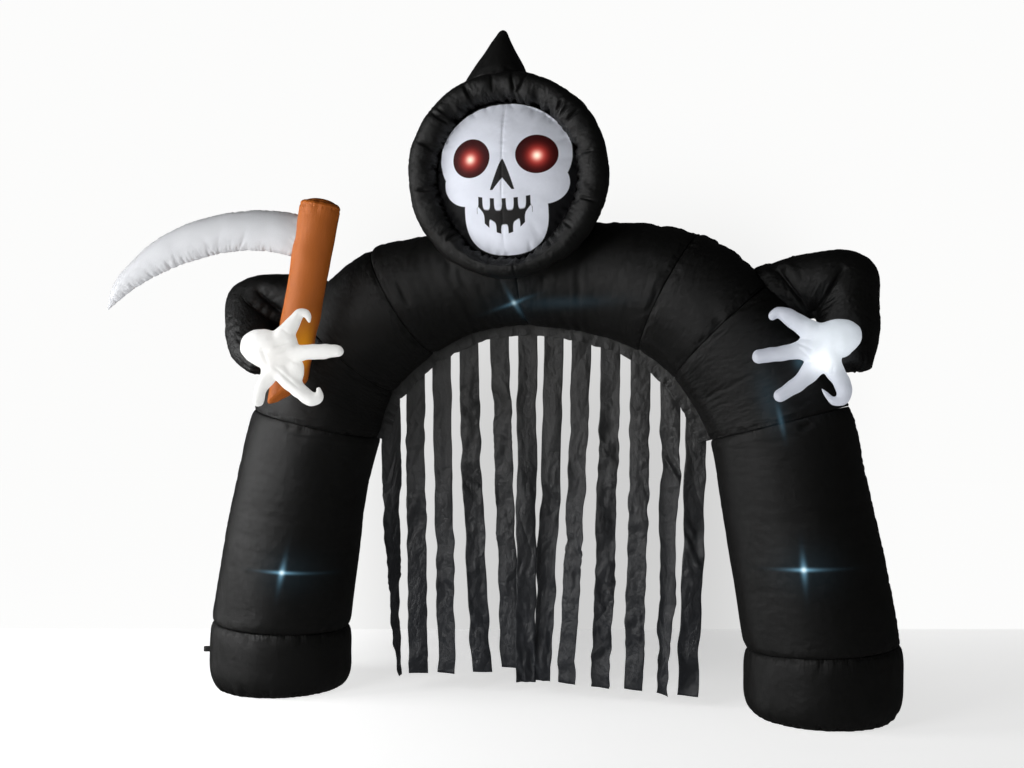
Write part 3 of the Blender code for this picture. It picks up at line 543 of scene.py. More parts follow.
# ---------------------------------------------------------------- the feet
# Each foot is a low drum of the same polyester that stands flat on the floor.  A leaning seam
# joins it to the leg, and a round base is sewn in with close gathers.
FOOT_RADIUS = 0.303
FOOT_HEIGHT = 0.27      # at the middle of the leaning seam
FOOT_PROFILE = (        # share of the seam's height, and what the radius is short of full
    (0.000, 0.053), (0.012, 0.036), (0.040, 0.026), (0.090, 0.0165), (0.160, 0.008), (0.300, 0.000),
    (0.550, -0.001), (0.780, 0.000), (0.900, 0.004), (0.960, 0.009), (0.990, 0.016), (1.000, 0.024),
)
foot_turn = np.linspace(0, 2 * math.pi, 270, endpoint=False)
for number, side_name in enumerate(("left", "right")):
    x_in, z_in, x_out, z_out = ARCH[f"foot_{side_name}"]
    lean = (z_out - z_in) / (x_out - x_in)
    profile_at, profile_knots = natural_spline(
        [(FOOT_HEIGHT * height, short) for height, short in FOOT_PROFILE])
    height, short = profile_at(crowded(0, profile_knots[-1], 56)).T
    height, short = height[:, None] / FOOT_HEIGHT, short[:, None]
    across = (FOOT_RADIUS - short) * np.cos(foot_turn)[None, :]
    seam_z = (z_in + z_out) / 2 + lean * across - 0.0003
    grid = np.stack((
        (x_in + x_out) / 2 + across,
        (FOOT_RADIUS - short) * np.sin(foot_turn)[None, :],
        height * seam_z,
    ), axis=-1)
    round_place = FOOT_RADIUS * foot_turn[None, :]
    low, high = FOOT_HEIGHT * height, FOOT_HEIGHT * (1 - height)
    whole = 2 * math.pi * FOOT_RADIUS
    trough = (
        gathers(low, round_place, whole, 120, 0.024, 0.0090, 50 + number, 0.006)
        + gathers(low, round_place, whole, 26, 0.050, 0.0035, 55 + number, 0.010)
        + gathers(high, round_place, whole, 120, 0.018, 0.0040, 60 + number, 0.005)
        + gathers(high, round_place, whole, 18, 0.050, 0.0035, 65 + number, 0.010)
    ) * np.clip(low / 0.006, 0, 1) * np.clip(high / 0.006, 0, 1)
    bulge = 0.002 * soft_noise(grid, 0.16, 30 + number)
    grid = grid + outward(grid) * (bulge * np.clip(low / 0.05, 0, 1) - trough)[..., None]
    grid[..., 2] = np.maximum(grid[..., 2], 0.0)
    near = np.exp(-low / 0.030) + np.exp(-high / 0.022) + 0 * foot_turn[None, :]
    piece = skin(f"foot_{side_name}_cover", grid, black, round_seam=near.clip(0, 1))
    air_filled(piece, f"foot_{side_name}")

# ---------------------------------------------------------------- the sleeves
# A sleeve is a bent tube of the same cloth, sewn to the upper side of the arch, that folds in a
# deep crease inside the elbow and narrows to a closed cuff.
SLEEVE_RADIUS = 0.12
SLEEVE_GIRTH = 0.75
SLEEVE_LENGTH = 0.75
# Inner x, z, outer x, z, the middle's y, and half of the depth.
SLEEVES = {
    "right": (
        (0.930, 1.520, 0.850, 1.748, -0.020, 0.100),
        (1.040, 1.545, 1.000, 1.804, -0.035, 0.112),
        (1.082, 1.550, 1.120, 1.817, -0.055, 0.118),
        (1.100, 1.553, 1.258, 1.815, -0.070, 0.122),
        (1.110, 1.548, 1.350, 1.750, -0.080, 0.122),
        (1.116, 1.532, 1.362, 1.638, -0.100, 0.118),
        (1.135, 1.482, 1.360, 1.540, -0.138, 0.108),
        (1.162, 1.420, 1.346, 1.443, -0.180, 0.092),
        (1.192, 1.366, 1.325, 1.366, -0.222, 0.072),
    ),
    "left": (
        (-0.930, 1.500, -0.850, 1.725, -0.020, 0.100),
        (-1.045, 1.520, -1.000, 1.778, -0.035, 0.112),
        (-1.080, 1.528, -1.130, 1.786, -0.055, 0.118),
        (-1.096, 1.530, -1.258, 1.774, -0.070, 0.122),
        (-1.106, 1.526, -1.352, 1.708, -0.085, 0.124),
        (-1.106, 1.514, -1.354, 1.616, -0.130, 0.120),
        (-1.098, 1.485, -1.318, 1.525, -0.190, 0.108),
        (-1.075, 1.445, -1.273, 1.440, -0.250, 0.092),
        (-1.037, 1.402, -1.148, 1.350, -0.310, 0.074),
    ),
}


def sleeve_grid(rows, turn, steps):
    """Rings that fan out from the crease in the elbow and lean by two fifths of the middle line's
    own lean to the front, and a cuff whose last rings shrink on a quarter circle."""
    at, knots = natural_spline(rows)
    x_in, z_in, x_out, z_out, y, depth = at(np.linspace(0, knots[-1], steps)).T
    centre = np.stack(((x_in + x_out) / 2, y, (z_in + z_out) / 2), axis=1)
    across = np.stack((x_out - x_in, 0 * y, z_out - z_in), axis=1) / 2
    deep = np.cross(across, np.gradient(centre, axis=0) * (1, 0.4, 1))
    deep *= (depth / np.linalg.norm(deep, axis=1))[:, None]
    rings = (centre[:, None] + across[:, None] * np.cos(turn)[None, :, None]
             + deep[:, None] * np.sin(turn)[None, :, None])
    onward = centre[-1] - centre[-2]
    onward /= np.linalg.norm(onward)
    cuff = np.radians(np.linspace(0, 90, 9)[1:-1])[:, None, None]
    ends = centre[-1] + (rings[-1] - centre[-1]) * np.cos(cuff) + 0.024 * onward * np.sin(cuff)
    return np.concatenate((rings, ends))


spine = arch_at(np.linspace(0, arch_knots[-1], 300))
spine_centre = np.stack(((spine[:, 0] + spine[:, 2]) / 2, 0 * spine[:, 0],
                         (spine[:, 1] + spine[:, 3]) / 2), axis=1)
spine_radius = np.linalg.norm(spine[:, 2:] - spine[:, :2], axis=1) / 2


def outside_arch(grid):
    """How far each point lies outside the arch's tube, taken as spheres along its middle line."""
    flat = grid.reshape(-1, 3)
    reach = np.sqrt(((flat[:, None] - spine_centre[None]) ** 2).sum(axis=2)) - spine_radius
    return reach.min(axis=1).reshape(grid.shape[:2])


def start_at_skin(grid, outside, sunk=0.012):
    """Slide the rows of each column so that the first lies just under a neighbour's skin: the
    column is read again from the place where `outside` passes -sunk for the last time."""
    rows = np.arange(len(grid), dtype=float)
    made = np.empty_like(grid)
    for column in range(grid.shape[1]):
        inside = np.flatnonzero(outside[:, column] < -sunk)
        first = 0.0
        if len(inside):
            i = inside[-1]
            gap = outside[i + 1, column] - outside[i, column]
            first = i + (-sunk - outside[i, column]) / gap
        read = np.linspace(first, rows[-1], len(grid))
        for axis in range(3):
            made[:, column, axis] = np.interp(read, rows, grid[:, column, axis])
    return made


# The creases and wrinkles in the elbow: x, z, x, z, half width, depth.
ELBOW_FOLDS = {
    "right": (
        (0.970, 1.758, 1.106, 1.540, 0.024, 0.012), (0.974, 1.752, 1.104, 1.543, 0.006, 0.020),
        (1.228, 1.749, 1.092, 1.538, 0.020, 0.010), (1.224, 1.743, 1.094, 1.542, 0.006, 0.019),
        (1.104, 1.630, 1.100, 1.552, 0.006, 0.007), (1.127, 1.655, 1.103, 1.560, 0.006, 0.008),
        (1.142, 1.676, 1.110, 1.572, 0.005, 0.006), (1.160, 1.690, 1.118, 1.582, 0.006, 0.007),
        (1.075, 1.640, 1.093, 1.565, 0.005, 0.006), (1.142, 1.605, 1.190, 1.626, 0.006, 0.006),
        (1.130, 1.580, 1.180, 1.600, 0.006, 0.006), (1.118, 1.556, 1.165, 1.569, 0.006, 0.006),
        (1.165, 1.640, 1.200, 1.662, 0.006, 0.004),
    ),
    "left": (
        (-1.200, 1.726, -1.050, 1.580, 0.030, 0.020), (-1.190, 1.712, -1.056, 1.582, 0.007, 0.021),
        (-1.165, 1.684, -1.205, 1.640, 0.009, 0.004), (-1.138, 1.655, -1.172, 1.600, 0.009, 0.004),
        (-1.112, 1.628, -1.140, 1.570, 0.008, 0.004), (-1.150, 1.700, -1.095, 1.716, 0.008, 0.003),
        (-1.120, 1.672, -1.062, 1.690, 0.008, 0.003), (-1.215, 1.500, -1.175, 1.470, 0.009, 0.005),
        (-1.235, 1.480, -1.205, 1.450, 0.008, 0.004),
    ),
}
sleeve_turn = np.linspace(0, 2 * math.pi, 190, endpoint=False)
for number, (side_name, rows) in enumerate(SLEEVES.items()):
    grid = sleeve_grid(rows, sleeve_turn, 140)
    grid = start_at_skin(grid, outside_arch(grid))
    from_arch = SLEEVE_LENGTH * np.linspace(0, 1, len(grid))[:, None]
    from_cuff = SLEEVE_LENGTH - from_arch
    round_place = SLEEVE_RADIUS * sleeve_turn[None, :]
    coarse = grid[::2, ::2]
    both_ends = np.isin(np.arange(len(coarse)), (0, len(coarse) - 1))[:, None]
    puff, = blown([coarse], [both_ends])
    puff = read_at(puff, np.arange(len(grid)) / 2, np.arange(len(sleeve_turn)) / 2)
    normal = outward(grid)
    trough = (
        creases(grid, normal, ELBOW_FOLDS[side_name])
        + gathers(from_arch, round_place, SLEEVE_GIRTH, 26, 0.05, 0.004, 70 + number, 0.008)
        + gathers(from_cuff, round_place, SLEEVE_GIRTH, 22, 0.06, 0.005, 80 + number, 0.007)
    )
    bulge = puff + 0.002 * soft_noise(grid, 0.10, 40 + number)
    grid = grid + normal * (bulge - trough)[..., None]
    near = np.exp(-from_arch / 0.03) + np.exp(-from_cuff / 0.03)
    piece = skin(f"sleeve_{side_name}_cover", grid, black, round_seam=near.clip(0, 1))
    air_filled(piece, f"sleeve_{side_name}")

# ---------------------------------------------------------------- the hood
# The hood is a padded brim round the face, a rounded back and a pointed tip, all of the black
# polyester.  The brim is gathered on the face's edge, and it is thinner where it meets the arch.
HOOD = np.array((-0.066, -0.293, 2.128))        # the middle of the brim's ring
BRIM_RADIUS = 0.342
BRIM_HALF_WIDTH = 0.057
BRIM_HALF_DEPTH = 0.070
BRIM_THINNING = 0.052
BRIM_SWELL = 0.012
BRIM_SECTION_RADIUS = 0.064
SWELL_ANGLE = math.radians(128)
HOOD_BACK_DEPTH = 0.40


def hood_radius(radius, turn):
    """Stretch a radius at an angle round the hood, so that the brim is thin at its lowest point
    and stands out at its upper left: straight pieces between the middle and the brim's edges."""
    inner, outer = BRIM_RADIUS - BRIM_HALF_WIDTH, BRIM_RADIUS + BRIM_HALF_WIDTH
    low = BRIM_THINNING * np.maximum(0, -np.sin(turn)) ** 4
    swell = BRIM_SWELL * np.maximum(0, np.cos(turn - SWELL_ANGLE)) ** 4
    share = np.clip((radius - inner) / (outer - inner), 0, 1)
    within = np.minimum(radius / inner, 1) * (inner + low + swell)
    return within + share * (outer - inner - low) + np.maximum(radius - outer, 0)


def hood_ring(radius, depth, turn):
    """Turn a profile of radius and depth about the hood's axis, which runs along Y."""
    radius, depth, turn = np.broadcast_arrays(radius, depth, turn)
    stretched = hood_radius(radius, turn)
    return HOOD + np.stack((stretched * np.cos(turn), depth, stretched * np.sin(turn)), axis=-1)


# Deep folds that pull in the brim: x, z, x, z, half width, depth.
BRIM_FOLDS = (
    (-0.232, 2.490, -0.192, 2.405, 0.0080, 0.0174), (-0.036, 2.520, -0.030, 2.440, 0.0056, 0.0174),
    (0.022, 2.510, -0.018, 2.432, 0.0056, 0.0159), (-0.365, 2.382, -0.294, 2.332, 0.0064, 0.0145),
    (-0.340, 2.400, -0.285, 2.352, 0.0056, 0.0116), (0.132, 2.345, 0.168, 2.402, 0.0064, 0.0159),
    (0.178, 2.312, 0.232, 2.360, 0.0064, 0.0159), (0.155, 2.335, 0.196, 2.385, 0.0048, 0.0101),
    (-0.440, 2.075, -0.360, 2.074, 0.0056, 0.0130), (-0.425, 2.270, -0.355, 2.240, 0.0064, 0.0116),
    (-0.305, 1.866, -0.250, 1.920, 0.0056, 0.0130), (-0.330, 1.890, -0.275, 1.940, 0.0048, 0.0087),
    (0.116, 1.838, 0.082, 1.893, 0.0056, 0.0116), (0.296, 2.000, 0.226, 2.024, 0.0064, 0.0130),
    (-0.120, 2.520, -0.112, 2.440, 0.0064, 0.0087), (-0.030, 1.780, -0.028, 1.725, 0.0032, 0.0087),
    (0.290, 2.200, 0.230, 2.190, 0.0072, 0.0087), (0.205, 1.900, 0.160, 1.935, 0.0064, 0.0087),
)
hood_turn = np.linspace(0, 2 * math.pi, 560, endpoint=False)[:, None]
section = np.linspace(0, 2 * math.pi, 70, endpoint=False)[None, :]
grid = hood_ring(BRIM_RADIUS + BRIM_HALF_WIDTH * np.cos(section),
                 BRIM_HALF_DEPTH * np.sin(section), hood_turn)
around = BRIM_RADIUS * hood_turn
whole = 2 * math.pi * BRIM_RADIUS
from_face = BRIM_SECTION_RADIUS * np.abs(section - math.pi)
from_back = BRIM_SECTION_RADIUS * np.abs((section - math.pi / 3 + math.pi) % (2 * math.pi) - math.pi)
normal = outward(grid, joined=True)
trough = (
    creases(grid, normal, BRIM_FOLDS)
    + gathers(from_face, around, whole, 120, 0.060, 0.0090, 90, 0.006)
    + gathers(from_face, around, whole, 34, 0.110, 0.0070, 93, 0.010)
    + gathers(from_back, around, whole, 60, 0.050, 0.0060, 91, 0.007)
    + gathers(from_back, around, whole, 16, 0.090, 0.0060, 94, 0.014)
)
coarse = grid[::2, ::2]
sewn = (from_face[:, ::2] < 0.003) | (from_back[:, ::2] < 0.003)
puff, = blown([coarse], [sewn], joined=True)
puff = read_at(np.vstack((puff, puff[:1])), np.arange(len(grid)) / 2, np.arange(grid.shape[1]) / 2)
bulge = puff + 0.003 * soft_noise(grid, 0.12, 92)
grid = grid + normal * (bulge - trough)[..., None]
near = (np.exp(-from_face / 0.035) + np.exp(-from_back / 0.030) + 0 * hood_turn).clip(0, 1)
brim = skin("hood_brim_cover", grid, black, joined=True, long_seam=near)
air_filled(brim, "hood_brim")

# The back's profile: a dome down to the brim, round the brim's own section and in to the axis.
DOME_STEPS = 60
BACK_GAP = 0.001        # between the brim and the back that hugs it
dome_angle = np.radians(np.linspace(88, 4, DOME_STEPS))
edge_radius = BRIM_RADIUS + BRIM_HALF_WIDTH * math.cos(math.radians(30))
hug_angle = np.radians(np.linspace(32, 90, 16))
hug_width, hug_depth = BRIM_HALF_WIDTH + BACK_GAP, BRIM_HALF_DEPTH + BACK_GAP
profile = np.vstack((
    np.stack((edge_radius * np.cos(dome_angle),
              BRIM_HALF_DEPTH / 2 + HOOD_BACK_DEPTH * np.sin(dome_angle)), axis=1),
    np.stack((BRIM_RADIUS + hug_width * np.cos(hug_angle), hug_depth * np.sin(hug_angle)), axis=1),
    ((0.20, hug_depth), (0.03, hug_depth))))
back_turn = np.linspace(0, 2 * math.pi, 236, endpoint=False)[None, :]
grid = hood_ring(profile[:, :1], profile[:, 1:], back_turn)
path = np.concatenate(([0], np.cumsum(np.linalg.norm(np.diff(profile, axis=0), axis=1))))[:, None]
from_brim = np.abs(path - path[DOME_STEPS])
trough = (gathers(from_brim, BRIM_RADIUS * back_turn, whole, 90, 0.05, 0.006, 95, 0.007)
          + gathers(from_brim, BRIM_RADIUS * back_turn, whole, 24, 0.14, 0.006, 99, 0.014))
trough = trough * (path < path[DOME_STEPS])
bulge = 0.003 * soft_noise(grid, 0.20, 96) * np.clip(from_brim / 0.05, 0, 1)
grid = grid + outward(grid) * (bulge - trough)[..., None]
near = np.exp(-from_brim / 0.03) + 0 * back_turn
back = skin("hood_back_cover", grid, black, round_seam=near)
air_filled(back, "hood_back")

TIP_TOP = np.array((-0.108, -0.190, 2.740))
TIP_LEAN = -0.020
TIP_HEIGHT = 0.25
TIP_RADIUS = 0.15
TIP_FLARE = 0.040           # how far its foot spreads to the left, into the brim's outline
TIP_FOLDS = (
    (-0.080, 2.556, 0.004, 2.540, 0.008, 0.007), (-0.215, 2.512, -0.165, 2.532, 0.008, 0.006),
    (-0.060, 2.600, -0.020, 2.570, 0.008, 0.004),
)
TIP_ROWS = (        # drop below the top, and radius
    (0.000, 0.004), (0.004, 0.012), (0.020, 0.024), (0.075, 0.056), (0.140, 0.098), (0.200, 0.132),
    (TIP_HEIGHT, 0.152),
)
tip_at, tip_knots = natural_spline(TIP_ROWS)
drop, radius = tip_at(np.linspace(0, tip_knots[-1], 60)).T[..., None]
tip_turn = np.linspace(0, 2 * math.pi, 160, endpoint=False)[None, :]
flare = TIP_FLARE * np.clip(-np.cos(tip_turn), 0, 1) * (drop / TIP_HEIGHT) ** 3
x = TIP_TOP[0] + TIP_LEAN * drop / TIP_HEIGHT + radius * np.cos(tip_turn) - flare
y = TIP_TOP[1] + 0.85 * radius * np.sin(tip_turn)
hollow = np.clip((y - HOOD[1] - BRIM_HALF_DEPTH / 2) / HOOD_BACK_DEPTH, 0, 1)
rest_radius = (BRIM_RADIUS + BRIM_HALF_WIDTH) * np.sqrt(1 - hollow**2) - 0.012
rest_z = HOOD[2] + np.sqrt(rest_radius**2 - (x - HOOD[0]) ** 2)
z = TIP_TOP[2] - drop
z = z + (rest_z - z) * (drop / TIP_HEIGHT) ** 4
grid = np.stack((x, y, z), axis=-1)
normal = outward(grid)
trough = creases(grid, normal, TIP_FOLDS) + (
    gathers(TIP_HEIGHT - drop, TIP_RADIUS * tip_turn, 2 * math.pi * TIP_RADIUS, 40, 0.05, 0.0060, 97,
            0.006))
bulge = 0.0025 * soft_noise(grid, 0.09, 98) * np.clip(drop / 0.05, 0, 1)
grid = grid + normal * (bulge - trough)[..., None]
near = np.exp(-(TIP_HEIGHT - drop) / 0.03) + 0 * tip_turn
tip = skin("hood_tip_cover", grid, black, round_seam=near)
air_filled(tip, "hood_tip")

# ---------------------------------------------------------------- the face
# The face is one disc of printed white cloth that air bulges forward, sewn to the brim's edge.
# Its print is a plain skull with red eyes that lamps light from behind.
FACE_BULGE = 0.070
FACE_BACK = 0.034
CENTRE_SEAM = 0.8           # length that its puckers are spread over
rim = BRIM_RADIUS - BRIM_HALF_WIDTH - SEAM_GAP
front_share = np.linspace(0.01, 1, 76)[:, None]
back_share = np.linspace(0.985, 0.05, 10)[:, None]
face_turn = np.linspace(0, 2 * math.pi, 340, endpoint=False)[None, :]
front_face = hood_ring(rim * front_share, -FACE_BULGE * (1 - front_share**2.4), face_turn)
back_face = hood_ring(rim * back_share, 0.004 + FACE_BACK * (1 - back_share**2), face_turn)
from_rim, whole = rim * (1 - front_share), 2 * math.pi * rim
trough = (gathers(from_rim, rim * face_turn, whole, 110, 0.022, 0.0070, 120, 0.006)
          + gathers(from_rim, rim * face_turn, whole, 26, 0.060, 0.0040, 122, 0.010))
# A centre seam runs down the forehead and the chin, with small puckers on both sides.
off_centre = np.abs(front_face[..., 0] - HOOD[0] + 0.008)
off_level = np.abs(front_face[..., 2] - HOOD[2])
puckers = gathers(off_centre, front_face[..., 2], CENTRE_SEAM, 60, 0.016, 0.0018, 123, 0.005)
trough = (trough + 0.0022 * np.exp(-(off_centre / 0.004) ** 2)
          + np.clip(3.2 - 3 * off_level / rim, 0, 1) * puckers)
front_face = front_face + np.array((0, 1.0, 0)) * (
    (trough + 0.0015 * soft_noise(front_face, 0.07, 121)) * np.clip(from_rim / 0.006, 0, 1)
)[..., None]
grid = np.concatenate((front_face, back_face))


def printed_face():
    cloth = Cloth("face_print", Roughness=0.5, Specular_IOR_Level=0.15, Emission_Strength=1.0)
    x, z = cloth.x - (MIDDLE[0] + HOOD[0]), cloth.z - HOOD[2]
    softness = 0.002        # width of a printed edge

    def ellipse(x_mid, z_mid, half_width, half_height):
        """1 inside an ellipse and 0 outside, with a soft printed edge."""
        across, up = (x - x_mid) / half_width, (z - z_mid) / half_height
        reach = (across * across + up * up) ** 0.5
        return ((1 - reach) * (min(half_width, half_height) / softness) + 0.5).within()

    def either(*masks):
        total = masks[0]
        for mask in masks[1:]:
            total = total.maths("MAXIMUM", total, mask)
        return total

    def box(across, up, half_width, half_height, power=4.0):
        """1 inside a box with round corners and a soft printed edge."""
        reach = (abs(across / half_width) ** power + abs(up / half_height) ** power) ** (1 / power)
        return ((1 - reach) * (half_width / softness) + 0.5).within()

    skull = either(
        ellipse(-0.004, 0.070, 0.267, 0.212), ellipse(-0.150, -0.040, 0.100, 0.088),
        ellipse(0.150, -0.040, 0.104, 0.088), box(x - 0.004, z + 0.158, 0.168, 0.162, 2.4))
    eyes = either(ellipse(-0.135, 0.060, 0.078, 0.078), ellipse(0.129, 0.067, 0.083, 0.077))
    down = ((0.052 - z) / 0.124).within(0.0001)
    off_nose = abs(x + 0.006)
    nose = (((0.050 * down ** 0.8 - off_nose) / softness + 0.5).within()
            * ((off_nose - 0.100 * (down - 0.60)) / softness + 0.5).within()
            * ((z + 0.070) / softness + 0.5).within())
    # The mouth is a dark crescent, with six round teeth above and five below.
    upper_lip = x * x - 0.104
    lower_lip = 6.6 * x * x - 0.240
    mouth = (((upper_lip - z) / softness + 0.5).within() * ((z - lower_lip) / softness + 0.5).within()
             * ((0.112 - abs(x)) / softness + 0.5).within())
    pitch = 0.048
    upper_cell = pitch * (x.maths("FRACT", x / pitch) - 0.5)
    lower_cell = pitch * (x.maths("FRACT", x / pitch + 0.5) - 0.5)
    teeth = either(box(upper_cell, upper_lip - z, 0.0155, 0.046),
                   box(lower_cell, z - lower_lip, 0.0145, 0.036))
    dark = either(nose, mouth * (1 - teeth))
    white = cloth.noise(0.05, 4.0).mix((0.78, 0.81, 0.90), (0.84, 0.87, 0.96))
    ground = skull.mix((0.008, 0.008, 0.009), white)
    print_colour = dark.mix(ground, (0.018, 0.017, 0.017))
    cloth.set("Base Color", eyes.mix(print_colour, (0.022, 0.003, 0.003)))
    lamps, cores = 0.0, 0.0
    for x_lamp, z_lamp in ((-0.137, 0.055), (0.131, 0.060)):
        reach = ((x - x_lamp) * (x - x_lamp) + (z - z_lamp) * (z - z_lamp)) ** 0.5
        lamps, cores = lamps + (reach / 0.031).bell(), cores + (reach / 0.015).bell()
    red = lamps.within().mix((0.012, 0.001, 0.001), (0.85, 0.075, 0.060))
    lit = eyes.mix((0.0, 0.0, 0.0), cores.within().mix(red, (1.15, 0.98, 0.78)))
    cloth.set("Emission Color", lit)
    cloth.raised(0.0001 * cloth.weave(0.0015) + 0.0025 * cloth.noise(0.05, 3.0))
    return cloth.material


face = skin("face_panel_cover", grid, printed_face())
air_filled(face, "face_panel")

# ---------------------------------------------------------------- the scythe
# The pole is an upright tube of brown cloth with a flat round cap sewn in, and the blade is a
# flat curved pocket of silver-grey cloth sewn to the pole's side.
POLE_TOP = np.array((-0.820, -0.370, 2.033))
POLE_FOOT = np.array((-0.975, -0.370, 1.199))
POLE_TOP_RADIUS, POLE_FOOT_RADIUS = 0.0805, 0.0720
POLE_FOOT_SLOPE = 0.92
POLE_WRAP = 0.084           # radius at which places round the pole are measured
BLADE_Y = -0.370
BLADE_LENGTH = 1.15
BLADE_EDGE = 1.3            # length that the gathers of an edge are spread over
BLADE_WIDTH = 0.25          # width that the gathers at its root are spread over
BLADE_STEPS = 270
BLADE_LENS = 1.15           # power that makes its section a little sharper than an ellipse
BLADE_ROOT = 0.0795         # from the pole's axis to where the blade is sewn on
BLADE = (       # upper x, z, lower x, z, and half of the depth
    (-0.860, 1.982, -0.890, 1.796, 0.046),
    (-0.960, 2.000, -0.985, 1.829, 0.050),
    (-1.100, 2.014, -1.125, 1.849, 0.050),
    (-1.240, 2.006, -1.240, 1.842, 0.048),
    (-1.400, 1.972, -1.365, 1.819, 0.044),
    (-1.560, 1.901, -1.490, 1.780, 0.037),
    (-1.680, 1.805, -1.610, 1.726, 0.028),
    (-1.755, 1.710, -1.712, 1.662, 0.016),
    (-1.774, 1.624, -1.770, 1.619, 0.003),
)
axis = POLE_TOP - POLE_FOOT
pole_length = np.linalg.norm(axis)
axis = axis / pole_length
across = np.array((axis[2], 0, -axis[0]))
rim_angle = np.radians(np.linspace(0, 90, 10))
ROLL = 0.020                # radius of the pole's rounded edges
CAP_RISE = 0.018
cap_share = np.linspace(0.05, 1, 14)[:-1]
side_along = np.linspace(ROLL, pole_length - ROLL, 100)[1:-1]
along = np.concatenate((
    0 * cap_share, ROLL * (1 - np.cos(rim_angle)), side_along,
    pole_length - ROLL * (1 - np.sin(rim_angle)), pole_length + CAP_RISE * (1 - cap_share[::-1] ** 2)))
radius = np.concatenate((
    cap_share * (POLE_FOOT_RADIUS - ROLL), POLE_FOOT_RADIUS - ROLL * (1 - np.sin(rim_angle)),
    POLE_FOOT_RADIUS + (POLE_TOP_RADIUS - POLE_FOOT_RADIUS) * side_along / pole_length,
    POLE_TOP_RADIUS - ROLL * (1 - np.cos(rim_angle)), cap_share[::-1] * (POLE_TOP_RADIUS - ROLL)))
pole_turn = np.linspace(0, 2 * math.pi, 100, endpoint=False)
raised = POLE_FOOT_SLOPE * (radius[:, None] * np.cos(pole_turn)[None, :] + POLE_FOOT_RADIUS)
raised = raised * np.clip(1 - along / 0.45, 0, 1)[:, None]
grid = (POLE_FOOT + axis * (along[:, None] + raised)[..., None]
        + radius[:, None, None] * (across * np.cos(pole_turn)[None, :, None]
                                   + np.array((0, 1.0, 0)) * np.sin(pole_turn)[None, :, None]))
from_top = np.abs(along - pole_length + ROLL)[:, None]
from_foot = np.abs(along - ROLL)[:, None]
round_place, whole = POLE_WRAP * pole_turn[None, :], 2 * math.pi * POLE_WRAP
trough = (
    gathers(from_top, round_place, whole, 36, 0.024, 0.0045, 130, 0.005)
    + gathers(from_foot, round_place, whole, 30, 0.030, 0.0025, 131, 0.005)
    + 0.003 * np.exp(-(from_top / 0.004) ** 2)
)
bulge = 0.0018 * soft_noise(grid, 0.07, 132)
grid = grid + outward(grid) * (bulge - trough)[..., None]


def pole_cloth():
    cloth = Cloth("pole_cloth", Specular_IOR_Level=0.32, Emission_Strength=1.0)
    tone = cloth.noise(0.10, 3.0, (1.0, 1.0, 0.25))
    cloth.set("Base Color", tone.mix((0.42, 0.105, 0.012), (0.55, 0.150, 0.022)))
    cloth.set("Roughness", 0.44 + 0.10 * cloth.noise(0.03, 4.0))
    cloth.raised(0.0001 * cloth.weave(0.0012) + 0.0035 * cloth.noise(0.05, 3.0, (1.0, 1.0, 0.4))
                 + 0.004 * cloth.puckers())
    # Painted light: the warm glow of the left hand's lamp on the pole's front, next to the fingers.
    glow = ((cloth.x - (MIDDLE[0] - 0.865)) / 0.06).bell() * ((cloth.z - 1.43) / 0.10).bell()
    front = ((MIDDLE[1] + POLE_FOOT[1] - cloth.y) / 0.05).within()
    cloth.set("Emission Color", (glow * front).mix((0.0, 0.0, 0.0), (0.34, 0.15, 0.0)))
    return cloth.material


near = np.exp(-from_top / 0.02) + np.exp(-from_foot / 0.03)
pole = skin("scythe_pole_cover", grid, pole_cloth(), round_seam=near.clip(0, 1))
air_filled(pole, "scythe_pole")

blade_at, blade_knots = natural_spline(BLADE)
x_top, z_top, x_low, z_low, depth = blade_at(np.linspace(0, blade_knots[-1], BLADE_STEPS)).T
blade_turn = np.linspace(0, 2 * math.pi, 84, endpoint=False)
cosine = np.cos(blade_turn)[None, :]
grid = np.stack((
    ((x_top + x_low) / 2)[:, None] + (x_top - x_low)[:, None] / 2 * cosine,
    BLADE_Y + depth[:, None] * np.sign(np.sin(blade_turn)) * np.abs(np.sin(blade_turn)) ** BLADE_LENS,
    ((z_top + z_low) / 2)[:, None] + (z_top - z_low)[:, None] / 2 * cosine,
), axis=-1)
from_axis = grid - POLE_FOOT
off_axis = from_axis - (from_axis @ axis)[..., None] * axis
grid = start_at_skin(grid, np.linalg.norm(off_axis, axis=-1) - BLADE_ROOT, sunk=0.002)
width = np.linalg.norm(np.stack((x_top - x_low, z_top - z_low)), axis=0)[:, None]
from_upper = width * (1 - cosine) / 2
from_lower = width * (1 + cosine) / 2
from_pole = np.linspace(0, BLADE_LENGTH, BLADE_STEPS)[:, None]
trough = (
    gathers(from_upper, from_pole, BLADE_EDGE, 90, 0.012, 0.0022, 140, 0.004)
    + gathers(from_lower, from_pole, BLADE_EDGE, 110, 0.022, 0.0028, 141, 0.004)
    + gathers(from_lower, from_pole, BLADE_EDGE, 22, 0.050, 0.0020, 144, 0.008)
) * np.clip(width / 0.15, 0, 1)
trough = trough + gathers(from_pole, from_lower, BLADE_WIDTH, 12, 0.04, 0.004, 142, 0.006)
bulge = 0.0012 * soft_noise(grid, 0.12, 143) * np.clip(width / 0.15, 0, 1)
grid = grid + outward(grid) * (bulge - trough)[..., None]


def blade_cloth():
    cloth = Cloth("blade_cloth", Specular_IOR_Level=0.5, Sheen_Weight=0.15)
    tone = cloth.noise(0.15, 3.0)
    cloth.set("Base Color", tone.mix((0.53, 0.54, 0.565), (0.59, 0.60, 0.625)))
    cloth.set("Roughness", 0.38 + 0.12 * cloth.noise(0.04, 4.0))
    cloth.raised(0.0001 * cloth.weave(0.0012) + 0.0015 * cloth.noise(0.05, 3.0, (1.0, 1.0, 0.5)))
    return cloth.material


blade = skin("scythe_blade_cover", grid, blade_cloth())
air_filled(blade, "scythe_blade")

